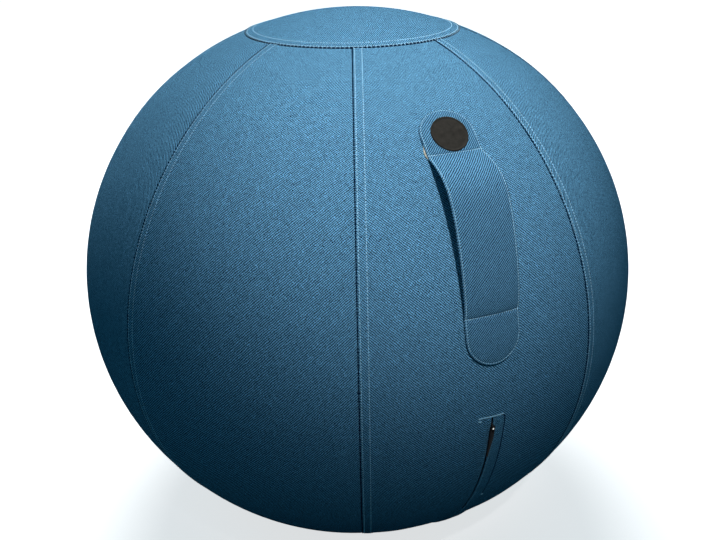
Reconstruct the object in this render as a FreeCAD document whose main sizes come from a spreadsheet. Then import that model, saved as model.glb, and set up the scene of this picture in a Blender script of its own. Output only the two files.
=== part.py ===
import FreeCAD, Part
import math
import os

import Sketcher
from FreeCAD import Placement, Rotation, Vector

# Sitting ball: an inflated ball in a sewn cloth cover with a carry handle and a zip.
# Millimetres, +Z up, origin at the middle of the patch that rests on the floor.
# The handle and the zip lie on the meridian that faces -Y.
#
# Each body is drawn with its meridian along +X and is then turned to its place.
# A meridian is three arcs: a flank about a centre just off the axis, and a crown
# above and below it whose centre is on the axis, tangent to the flank.

# Driving sizes in millimetres and degrees, each with what it measures.
DRIVING = (
    ("equator_radius", 325.0, "axis to the cover at its widest"),
    ("flank_radius", 310.0, "meridian arc of the side"),
    ("crown_from", 60.0, "angle above the equator where the crown arc starts"),
    ("contact_radius", 50.0, "flat patch on the floor"),
    ("gore_count", 8.0, "cloth gores round the ball"),
    ("cap_radius", 118.0, "seam of the round top panel"),
    ("base_radius", 118.0, "seam of the round base panel"),
    ("cloth", 1.2, "cover cloth"),
    ("seam_gap", 0.3, "between two panels at their seam"),
    ("allowance_width", 11.0, "turned seam allowance"),
    ("soft_gap", 0.3, "between soft pieces that only lie together"),
    ("sewn_gap", 0.1, "between layers that are sewn together"),
    ("fixed_gap", 0.05, "between parts that are fixed to each other"),
    ("ball_wall", 0.9, "wall of the inflated ball"),
    ("handle_width", 56.0, "strap and its round tabs"),
    ("handle_angle", 44.0, "angle of the upper cross stitching above the equator"),
    ("handle_span", 149.0, "cover between the two cross stitchings"),
    ("handle_tab", 47.0, "cross stitching to the tip of a tab"),
    ("handle_rise", 17.5, "highest place of the bowed strap over the cover"),
    ("handle_peak", 43.0, "upper cross stitching to the highest place"),
    ("handle_bend", 4.0, "upper cross stitching to either end of the bend there"),
    ("handle_bend_rise", 1.75, "strap over the cover after that bend"),
    ("handle_bend_angle", 33.0, "lean of the strap after that bend"),
    ("handle_sink", 81.7, "upper cross stitching to where the strap sinks fastest"),
    ("handle_sink_rise", 10.85, "strap over the cover there"),
    ("handle_sink_angle", 12.7, "lean of the strap there"),
    ("webbing", 1.4, "strap's inner webbing"),
    ("webbing_inset", 0.6, "webbing inside the edge of its cloth"),
    ("strap_cloth", 1.6, "strap's padded cloth"),
    ("badge_diameter", 36.0, "round badge on the upper tab"),
    ("badge_plate", 1.7, "badge without its rim"),
    ("badge_rim", 0.5, "rim standing over the plate"),
    ("badge_rim_width", 1.6, "rim measured inwards"),
    ("zip_from", 2.9, "angle below the equator where the zip starts"),
    ("zip_angle", 56.0, "angle that the zip takes, 303 mm along the cover"),
    ("tape", 0.5, "zip tape"),
    ("tape_width", 11.0, "one tape"),
    ("tape_gap", 0.3, "tape below the cloth it is sewn to"),
    ("coil", 1.7, "height of the coil on the tape"),
    ("coil_width", 2.8, "one coil"),
    ("chain_gap", 1.6, "between the two tapes"),
    ("run_gap", 0.15, "slider to tape and coil"),
    ("slider_plate", 1.0, "one slider plate"),
    ("slider_length", 12.0, "slider along the zip"),
    ("slider_width", 9.2, "slider across the zip"),
    ("slider_rest", 10.5, "middle of the closed slider from the zip's upper end"),
    ("slider_corner", 2.2, "plan corner of the slider plates"),
    ("window_gap", 0.4, "slider to the cut edge of the cloth"),
    ("flap_gap", 2.4, "between the two flaps over the zip"),
    ("flap_wide", 12.3, "right flap"),
    ("flap_narrow", 5.3, "left flap"),
    ("post_length", 3.0, "post between the slider's plates, along the zip"),
    ("post_above", 3.0, "middle of the slider to the middle of the post"),
    ("neck", 1.6, "slider neck between the flaps"),
    ("neck_foot", 8.0, "foot of the neck along the zip"),
    ("pull_pin", 1.5, "hinge pin of the pull"),
    ("pin_gap", 0.05, "pin to its hole, on the radius"),
    ("pull_length", 38.0, "pin to the tip of the pull"),
    ("pull_width", 5.0, "pull at the pin"),
    ("pull_tip", 2.6, "pull at its tip"),
    ("pull_plate", 1.5, "thickness of the pull"),
    ("pull_head", 1.0, "pull above its pin"),
    ("pull_shoulder", 12.7, "pin to where the pull starts to taper"),
    ("pull_corner", 1.2, "corners at the tip of the pull"),
    ("fork_depth", 5.5, "pin to the bottom of the pull's fork"),
    ("stop_length", 3.0, "end stop along the zip"),
    ("tack_length", 26.0, "bar tack across the zip"),
    ("tack_width", 1.8, "bar tack along the zip"),
    ("tack", 0.9, "height of a bar tack"),
    ("tack_clear", 0.3, "bar tack from the end of the zip"),
    ("valve_angle", 25.0, "angle of the valve below the equator"),
    ("seat_radius", 12.0, "valve seat in the wall"),
    ("seat_flange", 17.0, "valve seat's flange inside the ball"),
    ("seat_depth", 7.0, "valve seat into the ball"),
    ("plug_head", 8.0, "radius of the plug's head"),
    ("plug_head_depth", 1.6, "thickness of the plug's head"),
    ("plug_stem", 4.0, "radius of the plug's stem"),
    ("plug_tip", 2.0, "radius of the stem's tip"),
    ("plug_length", 20.0, "stem below the head"),
    ("plug_gap", 0.05, "plug to its seat, on the radius"),
)

# Sizes that follow from the driving ones, in the order in which they are worked out.
FOLLOWING = (
    ("axis_offset", "Sizes.equator_radius - Sizes.flank_radius"),
    ("crown_radius", "Sizes.flank_radius + axis_offset / cos(Sizes.crown_from)"),
    ("crown_shift", "axis_offset * tan(Sizes.crown_from)"),
    ("crown_base", "sqrt(crown_radius ^ 2 - Sizes.contact_radius ^ 2)"),
    ("middle", "crown_base - crown_shift"),
    ("gore_angle", "360 / Sizes.gore_count - Sizes.seam_gap / Sizes.equator_radius * 180 / pi"),
    ("turned_angle", "Sizes.allowance_width / Sizes.equator_radius * 180 / pi"),
    ("tape_out", "Sizes.flank_radius - Sizes.cloth - Sizes.tape_gap"),
    ("tape_in", "tape_out - Sizes.tape"),
    ("coil_in", "tape_in - Sizes.coil"),
    ("plate_in", "coil_in - Sizes.run_gap - Sizes.slider_plate"),
    ("ball_depth", "Sizes.flank_radius - plate_in + Sizes.soft_gap"),
    ("turned_depth", "ball_depth - Sizes.soft_gap"),
    ("flap_in", "Sizes.flank_radius + Sizes.sewn_gap"),
    ("flap_out", "flap_in + Sizes.cloth"),
    ("head_reach", "sqrt(Sizes.pull_head ^ 2 + (Sizes.pull_plate / 2) ^ 2)"),
    ("pin_at", "flap_out + Sizes.soft_gap + head_reach"),
    ("zip_to", "Sizes.zip_from + Sizes.zip_angle"),
    ("stop_angle", "Sizes.stop_length / Sizes.flank_radius * 180 / pi"),
    ("tack_angle", "Sizes.tack_width / Sizes.flank_radius * 180 / pi"),
    ("tack_start", "Sizes.tack_clear / Sizes.flank_radius * 180 / pi"),
    ("window", "Sizes.slider_width / 2 + Sizes.window_gap"),
    ("slider_at", "Sizes.zip_from + Sizes.slider_rest / Sizes.flank_radius * 180 / pi"),
    ("tab_centre", "Sizes.handle_tab - Sizes.handle_width / 2"),
    ("badge_angle", "Sizes.handle_angle + tab_centre / Sizes.flank_radius * 180 / pi"),
    ("seat_drop", "Sizes.seat_flange ^ 2 / (2 * (Sizes.flank_radius - ball_depth))"),
    ("flat_inside", "sqrt((crown_radius - Sizes.cloth) ^ 2 - (crown_base - Sizes.cloth) ^ 2)"),
)

FRONT = -90.0
ORIGIN = Vector(0, 0, 0)
UP = Vector(0, 0, 1)
ACROSS = Vector(0, 1, 0)

doc = FreeCAD.newDocument("BalanceBallChair")
pieces = {}


def fill_sheet(name, rows):
    """Write one aliased cell for each named value."""
    sheet = doc.addObject("Spreadsheet::Sheet", name)
    for line, row in enumerate(rows, start=1):
        sheet.set(f"A{line}", row[0])
        sheet.set(f"B{line}", row[1])
        sheet.setAlias(f"B{line}", row[0])
        if len(row) > 2:
            sheet.set(f"C{line}", row[2])
    doc.recompute()
    return sheet


sizes = fill_sheet("Sizes", [(name, str(value), what) for name, value, what in DRIVING])
worked = fill_sheet("Worked", [(name, "=" + formula) for name, formula in FOLLOWING])


sums = doc.addObject("Spreadsheet::Sheet", "Sums")


def worth(expression):
    """Let a sheet work out an expression, so that each is written only once."""
    if expression is None:
        return 0.0
    sums.set("A1", "=" + str(expression))
    sums.recompute()
    return float(sums.get("A1"))


# Sketches


def new_body(node):
    """Start the body of one named piece."""
    body = doc.addObject("PartDesign::Body", node + "_body")
    body.Label = node
    pieces[node] = body
    return body


def new_sketch(body, plane, name, lift=None, turn=None):
    """Put a sketch on one of the body's own planes, lifted or turned about its upright."""
    sketch = body.newObject("Sketcher::SketchObject", f"{body.Label}_{name}")
    support = next(item for item in body.Origin.OriginFeatures if item.Role == plane)
    sketch.AttachmentSupport = [(support, "")]
    sketch.MapMode = "FlatFace"
    if lift is not None:
        sketch.setExpression("AttachmentOffset.Base.z", lift)
    if turn is not None:
        sketch.AttachmentOffset = Placement(ORIGIN, Rotation(ACROSS, turn))
    return sketch


def bind(sketch, kind, geometry, point, expression):
    """Hold one coordinate of a sketch point, or a radius, to an expression."""
    if kind == "Radius":
        made = Sketcher.Constraint(kind, geometry, worth(expression))
    else:
        made = Sketcher.Constraint(kind, geometry, point, worth(expression))
    index = sketch.addConstraint(made)
    sketch.setExpression(f"Constraints[{index}]", expression)


def hold(sketch, geometry, point, along, up):
    """Hold both coordinates of a sketch point; None holds it to the sketch's own axis."""
    for kind, expression, axis in (("DistanceX", along, -2), ("DistanceY", up, -1)):
        if expression is None:
            sketch.addConstraint(Sketcher.Constraint("PointOnObject", geometry, point, axis))
        else:
            bind(sketch, kind, geometry, point, expression)


def join(sketch, first, first_end, second, second_end):
    """Make two sketch points one."""
    sketch.addConstraint(Sketcher.Constraint("Coincident", first, first_end, second, second_end))


def add_arc(sketch, centre, radius, low, high):
    """Add an arc whose centre, radius and ends are held by expressions.

    low and high are the ends in turning order, each as (angle, axis, expression):
    the coordinate along that axis is held, and no expression means on the upright axis.
    """
    at = Vector(worth(centre[0]), worth(centre[1]), 0)
    circle = Part.Circle(at, UP, worth(radius))
    angles = [math.radians(worth(end[0])) for end in (low, high)]
    arc = sketch.addGeometry(Part.ArcOfCircle(circle, *angles))
    hold(sketch, arc, 3, centre[0], centre[1])
    bind(sketch, "Radius", arc, None, radius)
    for point, (_, axis, expression) in ((1, low), (2, high)):
        if expression is None:
            sketch.addConstraint(Sketcher.Constraint("PointOnObject", arc, point, -2))
        else:
            bind(sketch, "Distance" + axis, arc, point, expression)
    return arc


def add_line(sketch, first, first_end, second, second_end):
    """Add a line between two sketch points."""
    start = sketch.getPoint(first, first_end)
    end = sketch.getPoint(second, second_end)
    line = sketch.addGeometry(Part.LineSegment(start, end))
    join(sketch, line, 1, first, first_end)
    join(sketch, line, 2, second, second_end)
    return line


def add_outline(sketch, corners):
    """Add a closed outline of straight lines through corners given as expressions."""
    points = [Vector(worth(along), worth(up), 0) for along, up in corners]
    lines = []
    for number, start in enumerate(points):
        end = points[(number + 1) % len(points)]
        lines.append(sketch.addGeometry(Part.LineSegment(start, end)))
    for number, line in enumerate(lines):
        join(sketch, line, 2, lines[(number + 1) % len(lines)], 1)
        hold(sketch, line, 1, *corners[number])
    return lines


def add_circle(sketch, along, up, radius):
    """Add a full circle."""
    circle = Part.Circle(Vector(worth(along), worth(up), 0), UP, worth(radius))
    ring = sketch.addGeometry(circle)
    hold(sketch, ring, 3, along, up)
    bind(sketch, "Radius", ring, None, radius)
    return ring


# Features


def pad(body, sketch, length, both_ways=True):
    """Pad a sketch, to both sides unless told otherwise."""
    feature = body.newObject("PartDesign::Pad", sketch.Name + "_pad")
    feature.Profile = sketch
    feature.Midplane = both_ways
    feature.setExpression("Length", length)
    sketch.Visibility = False
    doc.recompute()
    return feature


def cut(body, sketch, reach):
    """Cut a sketch out of the body, the same reach to both sides."""
    feature = body.newObject("PartDesign::Pocket", sketch.Name + "_cut")
    feature.Profile = sketch
    feature.Midplane = True
    before = body.Shape.Volume
    feature.setExpression("Length", reach)
    doc.recompute()
    if not body.Shape.Volume < before:
        raise RuntimeError(f"{feature.Name} cuts nothing")
    return feature


def revolve(body, sketch, angle="360", both_ways=False, axis="V_Axis"):
    """Turn a sketch about its own axis."""
    feature = body.newObject("PartDesign::Revolution", sketch.Name + "_turned")
    feature.Profile = sketch
    feature.ReferenceAxis = (sketch, [axis])
    feature.Midplane = both_ways
    feature.setExpression("Angle", angle)
    sketch.Visibility = False
    doc.recompute()
    return feature


def round_edges(body, radius, wanted):
    """Fillet the edges of the body's tip that answer to a test."""
    tip = body.Tip
    names = [f"Edge{n}" for n, edge in enumerate(tip.Shape.Edges, start=1) if wanted(edge)]
    feature = body.newObject("PartDesign::Fillet", body.Label + "_rounding")
    feature.Base = (tip, names)
    feature.setExpression("Radius", radius)
    doc.recompute()
    return feature


def face_front(item, turn=0.0):
    """Turn a finished piece from +X to the front, or that much further round."""
    item.Placement = Placement(ORIGIN, Rotation(UP, FRONT + turn))


def on_meridian(angle_below):
    """Place for a piece drawn along +X from the flank's centre, at an angle below the equator."""
    centre = Vector(worth("Worked.axis_offset"), 0, worth("Worked.middle"))
    turned = Placement(centre, Rotation(ACROSS, worth(angle_below)))
    return Placement(ORIGIN, Rotation(UP, FRONT)).multiply(turned)


# Meridian sections. Depths are measured inwards from the outside of the cover.


CROWN_TOP = "Worked.middle - Worked.crown_shift"
CROWN_LOW = "Worked.middle + Worked.crown_shift"
JOIN_HIGH = "Sizes.crown_from"
JOIN_LOW = "-Sizes.crown_from"


def crown_radius(depth):
    return f"Worked.crown_radius - ({depth})"


def flank_radius(depth):
    return f"Sizes.flank_radius - ({depth})"


def crown_angle(depth, along):
    """Angle above the level at which a crown arc reaches a distance from the axis."""
    return f"acos(({along}) / ({crown_radius(depth)}))"


def add_meridian(sketch, depth, high, low):
    """Draw one meridian from high to low, each a distance from the axis or None for the axis.

    Gives the three arcs, with the geometry number and the point of each end of the run.
    """
    join_along = f"Worked.axis_offset + ({flank_radius(depth)}) * cos({JOIN_HIGH})"
    join_up = f"({flank_radius(depth)}) * sin({JOIN_HIGH})"
    top_angle = "90" if high is None else crown_angle(depth, high)
    low_angle = "-90" if low is None else f"-{crown_angle(depth, low)}"
    crown = add_arc(
        sketch,
        (None, CROWN_TOP),
        crown_radius(depth),
        (JOIN_HIGH, "X", join_along),
        (top_angle, "X", high),
    )
    flank = add_arc(
        sketch,
        ("Worked.axis_offset", "Worked.middle"),
        flank_radius(depth),
        (JOIN_LOW, "Y", f"Worked.middle - {join_up}"),
        (JOIN_HIGH, "Y", f"Worked.middle + {join_up}"),
    )
    under = add_arc(
        sketch,
        (None, CROWN_LOW),
        crown_radius(depth),
        (low_angle, "X", low),
        (JOIN_LOW, "X", join_along),
    )
    return (crown, 2), (under, 1)


def add_band(sketch, outside, inside, high, low):
    """Draw a layer between two depths, closed at both ends."""
    outer = add_meridian(sketch, outside, high, low)
    inner = add_meridian(sketch, inside, high, low)
    for first, second in zip(outer, inner):
        add_line(sketch, *first, *second)


def add_strip(sketch, outer, inner, start, end):
    """Draw a layer about the flank's centre between two radii and two angles below the equator."""
    corners = []
    for radius in (outer, inner):
        arc = add_arc(
            sketch,
            ("Worked.axis_offset", "Worked.middle"),
            radius,
            (f"-({end})", "Y", f"Worked.middle - ({radius}) * sin({end})"),
            (f"-({start})", "Y", f"Worked.middle - ({radius}) * sin({start})"),
        )
        corners.append(arc)
    for point in (1, 2):
        add_line(sketch, corners[0], point, corners[1], point)


# The cover and the ball inside it


def make_gores():
    """Cloth gores, each with its seam allowance turned under its left edge."""
    high = "Sizes.cap_radius + Sizes.seam_gap / 2"
    low = "Sizes.base_radius + Sizes.seam_gap / 2"
    count = round(worth("Sizes.gore_count"))
    for number in range(count):
        body = new_body(f"gore_panel_{number + 1}")
        sketch = new_sketch(body, "XZ_Plane", "section")
        add_band(sketch, "0", "Sizes.cloth", high, low)
        revolve(body, sketch, "Worked.gore_angle", both_ways=True)
        turned = new_sketch(body, "XZ_Plane", "allowance", turn=-worth("Worked.gore_angle") / 2)
        add_band(turned, "Sizes.cloth", "Worked.turned_depth", high, low)
        revolve(body, turned, "Worked.turned_angle")
        if number == 0:
            window = new_sketch(body, "YZ_Plane", "window")
            top = "Worked.middle - Sizes.flank_radius * sin(Sizes.zip_from)"
            bottom = "Worked.middle - Sizes.flank_radius * sin(Worked.zip_to)"
            corners = (("-Worked.window", bottom), ("Worked.window", bottom),
                       ("Worked.window", top), ("-Worked.window", top))
            add_outline(window, corners)
            cut(body, window, "2 * Sizes.equator_radius + Sizes.cloth")
        face_front(body, 360.0 / count * number)


def make_round_panels():
    """Round top and base panels with their seam allowance turned inwards under them."""
    for node, radius, flat in (("top_cap", "Sizes.cap_radius", False),
                               ("base_panel", "Sizes.base_radius", True)):
        body = new_body(node)
        sketch = new_sketch(body, "XZ_Plane", "section")
        edge = f"{radius} - Sizes.seam_gap / 2"
        turned = f"{edge} - Sizes.allowance_width"
        centre = (None, CROWN_LOW if flat else CROWN_TOP)
        arcs = []
        for depth, start, end in (("0", "Sizes.contact_radius", edge),
                                  ("Worked.turned_depth", turned, edge),
                                  ("Sizes.cloth", "Worked.flat_inside", turned)):
            reach = crown_radius(depth)
            far = crown_angle(depth, end)
            near = crown_angle(depth, start)
            if flat:
                ends = ((f"-{near}", "X", start), (f"-{far}", "X", end))
            elif depth == "Worked.turned_depth":
                ends = ((far, "X", end), (near, "X", start))
            else:
                ends = ((far, "X", end), ("90", "X", None))
            arcs.append(add_arc(sketch, centre, reach, *ends))
        outside, allowance, inside = arcs
        rim, inner = (2, 1) if flat else (1, 2)
        add_line(sketch, outside, rim, allowance, rim)
        add_line(sketch, allowance, inner, inside, rim)
        if flat:
            floor = sketch.addGeometry(Part.LineSegment(ORIGIN, sketch.getPoint(outside, 1)))
            join(sketch, floor, 2, outside, 1)
            join(sketch, floor, 1, -1, 1)
            level = Vector(0, worth("Sizes.cloth"), 0)
            ceiling = sketch.addGeometry(Part.LineSegment(level, sketch.getPoint(inside, 1)))
            join(sketch, ceiling, 2, inside, 1)
            hold(sketch, ceiling, 1, None, "Sizes.cloth")
            add_line(sketch, floor, 1, ceiling, 1)
        else:
            add_line(sketch, outside, 2, inside, 2)
        revolve(body, sketch)
        face_front(body)


def make_ball():
    """Inflated ball with a hole for the valve seat."""
    body = new_body("inner_ball")
    sketch = new_sketch(body, "XZ_Plane", "section")
    add_band(sketch, "Worked.ball_depth", "Worked.ball_depth + Sizes.ball_wall", None, None)
    revolve(body, sketch)
    hole = doc.addObject("Part::Cylinder", "valve_hole")
    hole.setExpression("Radius", "Sizes.seat_radius + Sizes.plug_gap")
    hole.setExpression("Height", "Sizes.flank_radius")
    along = Placement(ORIGIN, Rotation(ACROSS, 90))
    hole.Placement = on_meridian("Sizes.valve_angle").multiply(along)
    ball = doc.addObject("Part::Cut", "inner_ball")
    face_front(body)
    ball.Base = body
    ball.Tool = hole
    ball.Label = "inner_ball"
    pieces["inner_ball"] = ball
    doc.recompute()


def make_valve():
    """Valve seat moulded in the wall and the plug pressed into it."""
    outside = "Sizes.flank_radius - Worked.ball_depth - Sizes.soft_gap"
    inside = f"{outside} - Sizes.ball_wall - Worked.seat_drop"
    seat = new_body("valve_seat")
    sketch = new_sketch(seat, "XZ_Plane", "section")
    bore = "Sizes.plug_stem + Sizes.plug_gap"
    recess = "Sizes.plug_head + Sizes.plug_gap"
    shelf = f"{outside} - Sizes.plug_head_depth - Sizes.plug_gap"
    back = f"{outside} - Sizes.seat_depth"
    flange = f"{inside} - Sizes.ball_wall"
    add_outline(sketch, (
        (outside, recess), (outside, "Sizes.seat_radius"), (inside, "Sizes.seat_radius"),
        (inside, "Sizes.seat_flange"), (flange, "Sizes.seat_flange"),
        (flange, "Sizes.seat_radius"), (back, "Sizes.seat_radius"), (back, bore),
        (shelf, bore), (shelf, recess),
    ))
    revolve(seat, sketch, axis="H_Axis")
    seat.Placement = on_meridian("Sizes.valve_angle")
    plug = new_body("valve_plug")
    sketch = new_sketch(plug, "XZ_Plane", "section")
    under = f"{outside} - Sizes.plug_head_depth"
    tip = f"{under} - Sizes.plug_length"
    add_outline(sketch, (
        (outside, "0"), (outside, "Sizes.plug_head"), (under, "Sizes.plug_head"),
        (under, "Sizes.plug_stem"), (tip, "Sizes.plug_tip"), (tip, "0"),
    ))
    revolve(plug, sketch, axis="H_Axis")
    plug.Placement = on_meridian("Sizes.valve_angle")


# The zip. Its parts are drawn along the flank, whose centre is the slider's path.


def make_strip(node, outer, inner, start, end, near, wide):
    """Band along the flank: wide across the zip, its near edge that far from the middle."""
    body = new_body(node)
    sketch = new_sketch(body, "XZ_Plane", "section")
    sketch.setExpression("AttachmentOffset.Base.z", f"-(({near}) + ({wide}) / 2)")
    add_strip(sketch, outer, inner, start, end)
    pad(body, sketch, wide)
    face_front(body)


def make_zip_sides():
    """Tapes, coils and flaps on the two sides of the zip."""
    chain_start = "Sizes.zip_from + Worked.stop_angle"
    chain_end = "Worked.zip_to - Worked.stop_angle"
    for side, way, flap in (("right", "", "Sizes.flap_wide"), ("left", "-", "Sizes.flap_narrow")):
        beside = f"{way}(Sizes.chain_gap / 2)"
        make_strip(f"zip_tape_{side}", "Worked.tape_out", "Worked.tape_in",
                   "Sizes.zip_from", "Worked.zip_to", beside, f"{way}Sizes.tape_width")
        make_strip(f"zip_coil_{side}", "Worked.tape_in", "Worked.coil_in",
                   chain_start, chain_end, beside, f"{way}Sizes.coil_width")
        make_strip(f"zip_flap_{side}", "Worked.flap_out", "Worked.flap_in",
                   "Sizes.zip_from", "Worked.zip_to", f"{way}(Sizes.flap_gap / 2)", f"{way}{flap}")


def make_zip_ends():
    """Stops at the ends of the coils and the bar tacks sewn across the ends of the zip."""
    outside = "Worked.tape_in - Sizes.fixed_gap"
    after = "Worked.zip_to - Worked.stop_angle"
    before = "Sizes.zip_from + Worked.stop_angle - Sizes.fixed_gap"
    stops = []
    for way in ("", "-"):
        near = f"{way}(Sizes.chain_gap / 2)"
        body = doc.addObject("PartDesign::Body", "zip_stop")
        sketch = new_sketch(body, "XZ_Plane", "section")
        sketch.setExpression("AttachmentOffset.Base.z", f"-({near} + {way}Sizes.coil_width / 2)")
        add_strip(sketch, outside, "Worked.coil_in", "Sizes.zip_from", before)
        pad(body, sketch, "Sizes.coil_width")
        stops.append(body)
    pair = doc.addObject("Part::Compound", "zip_top_stops")
    pair.Links = stops
    pair.Label = "zip_top_stops"
    face_front(pair)
    pieces["zip_top_stops"] = pair
    make_strip("zip_bottom_stop", outside, "Worked.coil_in", f"{after} + Sizes.fixed_gap",
               "Worked.zip_to", "-(Sizes.chain_gap / 2 + Sizes.coil_width)",
               "(Sizes.chain_gap + 2 * Sizes.coil_width)")
    tack_out = "Worked.flap_in + Sizes.tack"
    half = "-Sizes.tack_length / 2"
    above = "Sizes.zip_from - Worked.tack_start"
    below = "Worked.zip_to + Worked.tack_start"
    make_strip("zip_upper_tack", tack_out, "Worked.flap_in", f"{above} - Worked.tack_angle", above,
               half, "Sizes.tack_length")
    make_strip("zip_lower_tack", tack_out, "Worked.flap_in", below, f"{below} + Worked.tack_angle",
               half, "Sizes.tack_length")


def make_slider():
    """Slider: two plates joined by a post between the coils, with a neck that holds the pull."""
    body = new_body("zip_slider")
    half = "Sizes.slider_width / 2"
    post = "(Sizes.chain_gap / 2 - 2 * Sizes.run_gap)"
    wall = "(Sizes.chain_gap / 2 + Sizes.coil_width + Sizes.run_gap)"
    low = "Worked.plate_in"
    floor = "Worked.plate_in + Sizes.slider_plate"
    lip = "Worked.tape_in - Sizes.run_gap"
    roof = "Worked.tape_out + Sizes.run_gap"
    top = f"{roof} + Sizes.slider_plate"
    crown = "Worked.pin_at + Sizes.pull_pin"
    channel = new_sketch(body, "XY_Plane", "channel")
    add_outline(channel, (
        (low, f"-{half}"), (lip, f"-{half}"), (lip, f"-{wall}"), (floor, f"-{wall}"),
        (floor, wall), (lip, wall), (lip, half), (low, half),
    ))
    pad(body, channel, "Sizes.slider_length")
    corner = "Sizes.slider_corner"
    is_plan_corner = corner_test("Sizes.slider_width", "Sizes.slider_length")
    round_edges(body, corner, is_plan_corner)
    middle = new_sketch(body, "XY_Plane", "post", lift="Sizes.post_above")
    add_outline(middle, ((floor, f"-{post}"), (floor, post), (roof, post), (roof, f"-{post}")))
    pad(body, middle, "Sizes.post_length")
    plate = new_sketch(body, "XY_Plane", "plate")
    add_outline(plate, ((roof, f"-{half}"), (top, f"-{half}"), (top, half), (roof, half)))
    pad(body, plate, "Sizes.slider_length")
    round_edges(body, corner, is_plan_corner)
    neck = new_sketch(body, "XZ_Plane", "neck")
    base = "Sizes.neck_foot / 2"
    add_outline(neck, (
        (top, f"-{base}"), (crown, "-Sizes.pull_pin"), (crown, "Sizes.pull_pin"), (top, base),
    ))
    pad(body, neck, "Sizes.neck")
    eye = new_sketch(body, "XZ_Plane", "eye")
    add_circle(eye, "Worked.pin_at", None, "Sizes.pull_pin / 2 + Sizes.pin_gap")
    cut(body, eye, "Sizes.slider_width")
    body.Placement = on_meridian("Worked.slider_at")


def corner_test(width, length):
    """Test for the upright edges at the corners of a plate that wide and that long."""
    across = worth(width) / 2
    along = worth(length) / 2

    def is_corner(edge):
        box = edge.BoundBox
        upright = box.YLength < 1e-6 and box.ZLength < 1e-6
        return upright and abs(abs(box.YMin) - across) < 1e-6 and abs(abs(box.ZMin) - along) < 1e-6

    return is_corner


def make_pull():
    """Tapered pull with a fork over the slider's neck and a hinge pin across it."""
    body = new_body("zip_pull")
    head = "Sizes.pull_head"
    shoulder = "-Sizes.pull_shoulder"
    half = "Sizes.pull_width / 2"
    tip = "Sizes.pull_tip / 2"
    blade = new_sketch(body, "YZ_Plane", "blade")
    add_outline(blade, (
        (f"-{half}", head), (f"-{half}", shoulder), (f"-{tip}", "-Sizes.pull_length"),
        (tip, "-Sizes.pull_length"), (half, shoulder), (half, head),
    ))
    pad(body, blade, "Sizes.pull_plate")
    at_tip = -worth("Sizes.pull_length") + 1e-3
    round_edges(body, "Sizes.pull_corner", lambda edge: (
        edge.BoundBox.ZMax < at_tip and edge.BoundBox.YLength < 1e-6))
    fork = new_sketch(body, "YZ_Plane", "fork")
    gap = "(Sizes.neck / 2 + Sizes.run_gap)"
    depth = "-Sizes.fork_depth"
    open_end = "2 * Sizes.pull_head"
    add_outline(fork, ((f"-{gap}", depth), (gap, depth), (gap, open_end), (f"-{gap}", open_end)))
    cut(body, fork, "2 * Sizes.pull_plate")
    pin = new_sketch(body, "XZ_Plane", "pin")
    ring = pin.addGeometry(Part.Circle(ORIGIN, UP, worth("Sizes.pull_pin") / 2))
    join(pin, ring, 3, -1, 1)
    bind(pin, "Radius", ring, None, "Sizes.pull_pin / 2")
    pad(body, pin, "Sizes.pull_width - Sizes.run_gap")
    hinge = Placement(Vector(worth("Worked.pin_at"), 0, 0), Rotation())
    body.Placement = on_meridian("Worked.slider_at").multiply(hinge)


# The carry handle. Its line is a run of arcs, each tangent to the next.


def handle_knots():
    """Knots of the strap's inner line from the upper tip down: along, rise and slope.

    along is measured on the cover from the upper cross stitching; the strap leaves that
    stitching in a short bend, bows out, sinks slowly and meets the lower stitching flat.
    """
    bend = worth("Sizes.handle_bend")
    span = worth("Sizes.handle_span")
    tab = worth("Sizes.handle_tab")
    return (
        (-tab, 0.0, 0.0),
        (-bend, 0.0, 0.0),
        (bend, worth("Sizes.handle_bend_rise"), worth("Sizes.handle_bend_angle")),
        (worth("Sizes.handle_peak"), worth("Sizes.handle_rise"), 0.0),
        (worth("Sizes.handle_sink"), worth("Sizes.handle_sink_rise"), -worth("Sizes.handle_sink_angle")),
        (span, 0.0, 0.0),
        (span + tab, 0.0, 0.0),
    )


def handle_arcs():
    """Arcs of the strap's inner line as centre, radius, start and end, in the meridian plane."""
    centre = Vector(worth("Worked.axis_offset"), worth("Worked.middle"), 0)
    base = worth("Worked.flap_in")
    row = worth("Sizes.handle_angle")
    flank = worth("Sizes.flank_radius")
    points = []
    for along, rise, slope in handle_knots():
        angle = math.radians(row) - along / flank
        outward = Vector(math.cos(angle), math.sin(angle), 0)
        down = Vector(math.sin(angle), -math.cos(angle), 0)
        lean = math.radians(slope)
        heading = down * math.cos(lean) + outward * math.sin(lean)
        points.append((centre + outward * (base + rise), heading))
    arcs = []
    for (start, heading), (end, leaving) in zip(points, points[1:]):
        arcs += two_arcs(start, heading, end, leaving)
    return arcs


def two_arcs(start, heading, end, leaving):
    """Two tangent arcs from a point and heading to another point and heading."""
    chord = end - start
    both = heading + leaving
    spread = 2 * (1 - heading.dot(leaving))
    lead = chord.dot(both)
    if spread < 1e-9:
        reach = chord.dot(chord) / (2 * lead)
    else:
        reach = (math.sqrt(lead * lead + spread * chord.dot(chord)) - lead) / spread
    first = start + heading * reach
    second = end - leaving * reach
    meeting = (first + second) * 0.5
    between = (second - first).normalize()
    return [one_arc(start, heading, meeting), one_arc(meeting, between, end)]


def one_arc(start, heading, end):
    """Centre, signed radius and ends of the arc that leaves start along heading."""
    chord = end - start
    side = Vector(-heading.y, heading.x, 0)
    radius = chord.dot(chord) / (2 * chord.dot(side))
    return start + side * radius, radius, start, end


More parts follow.
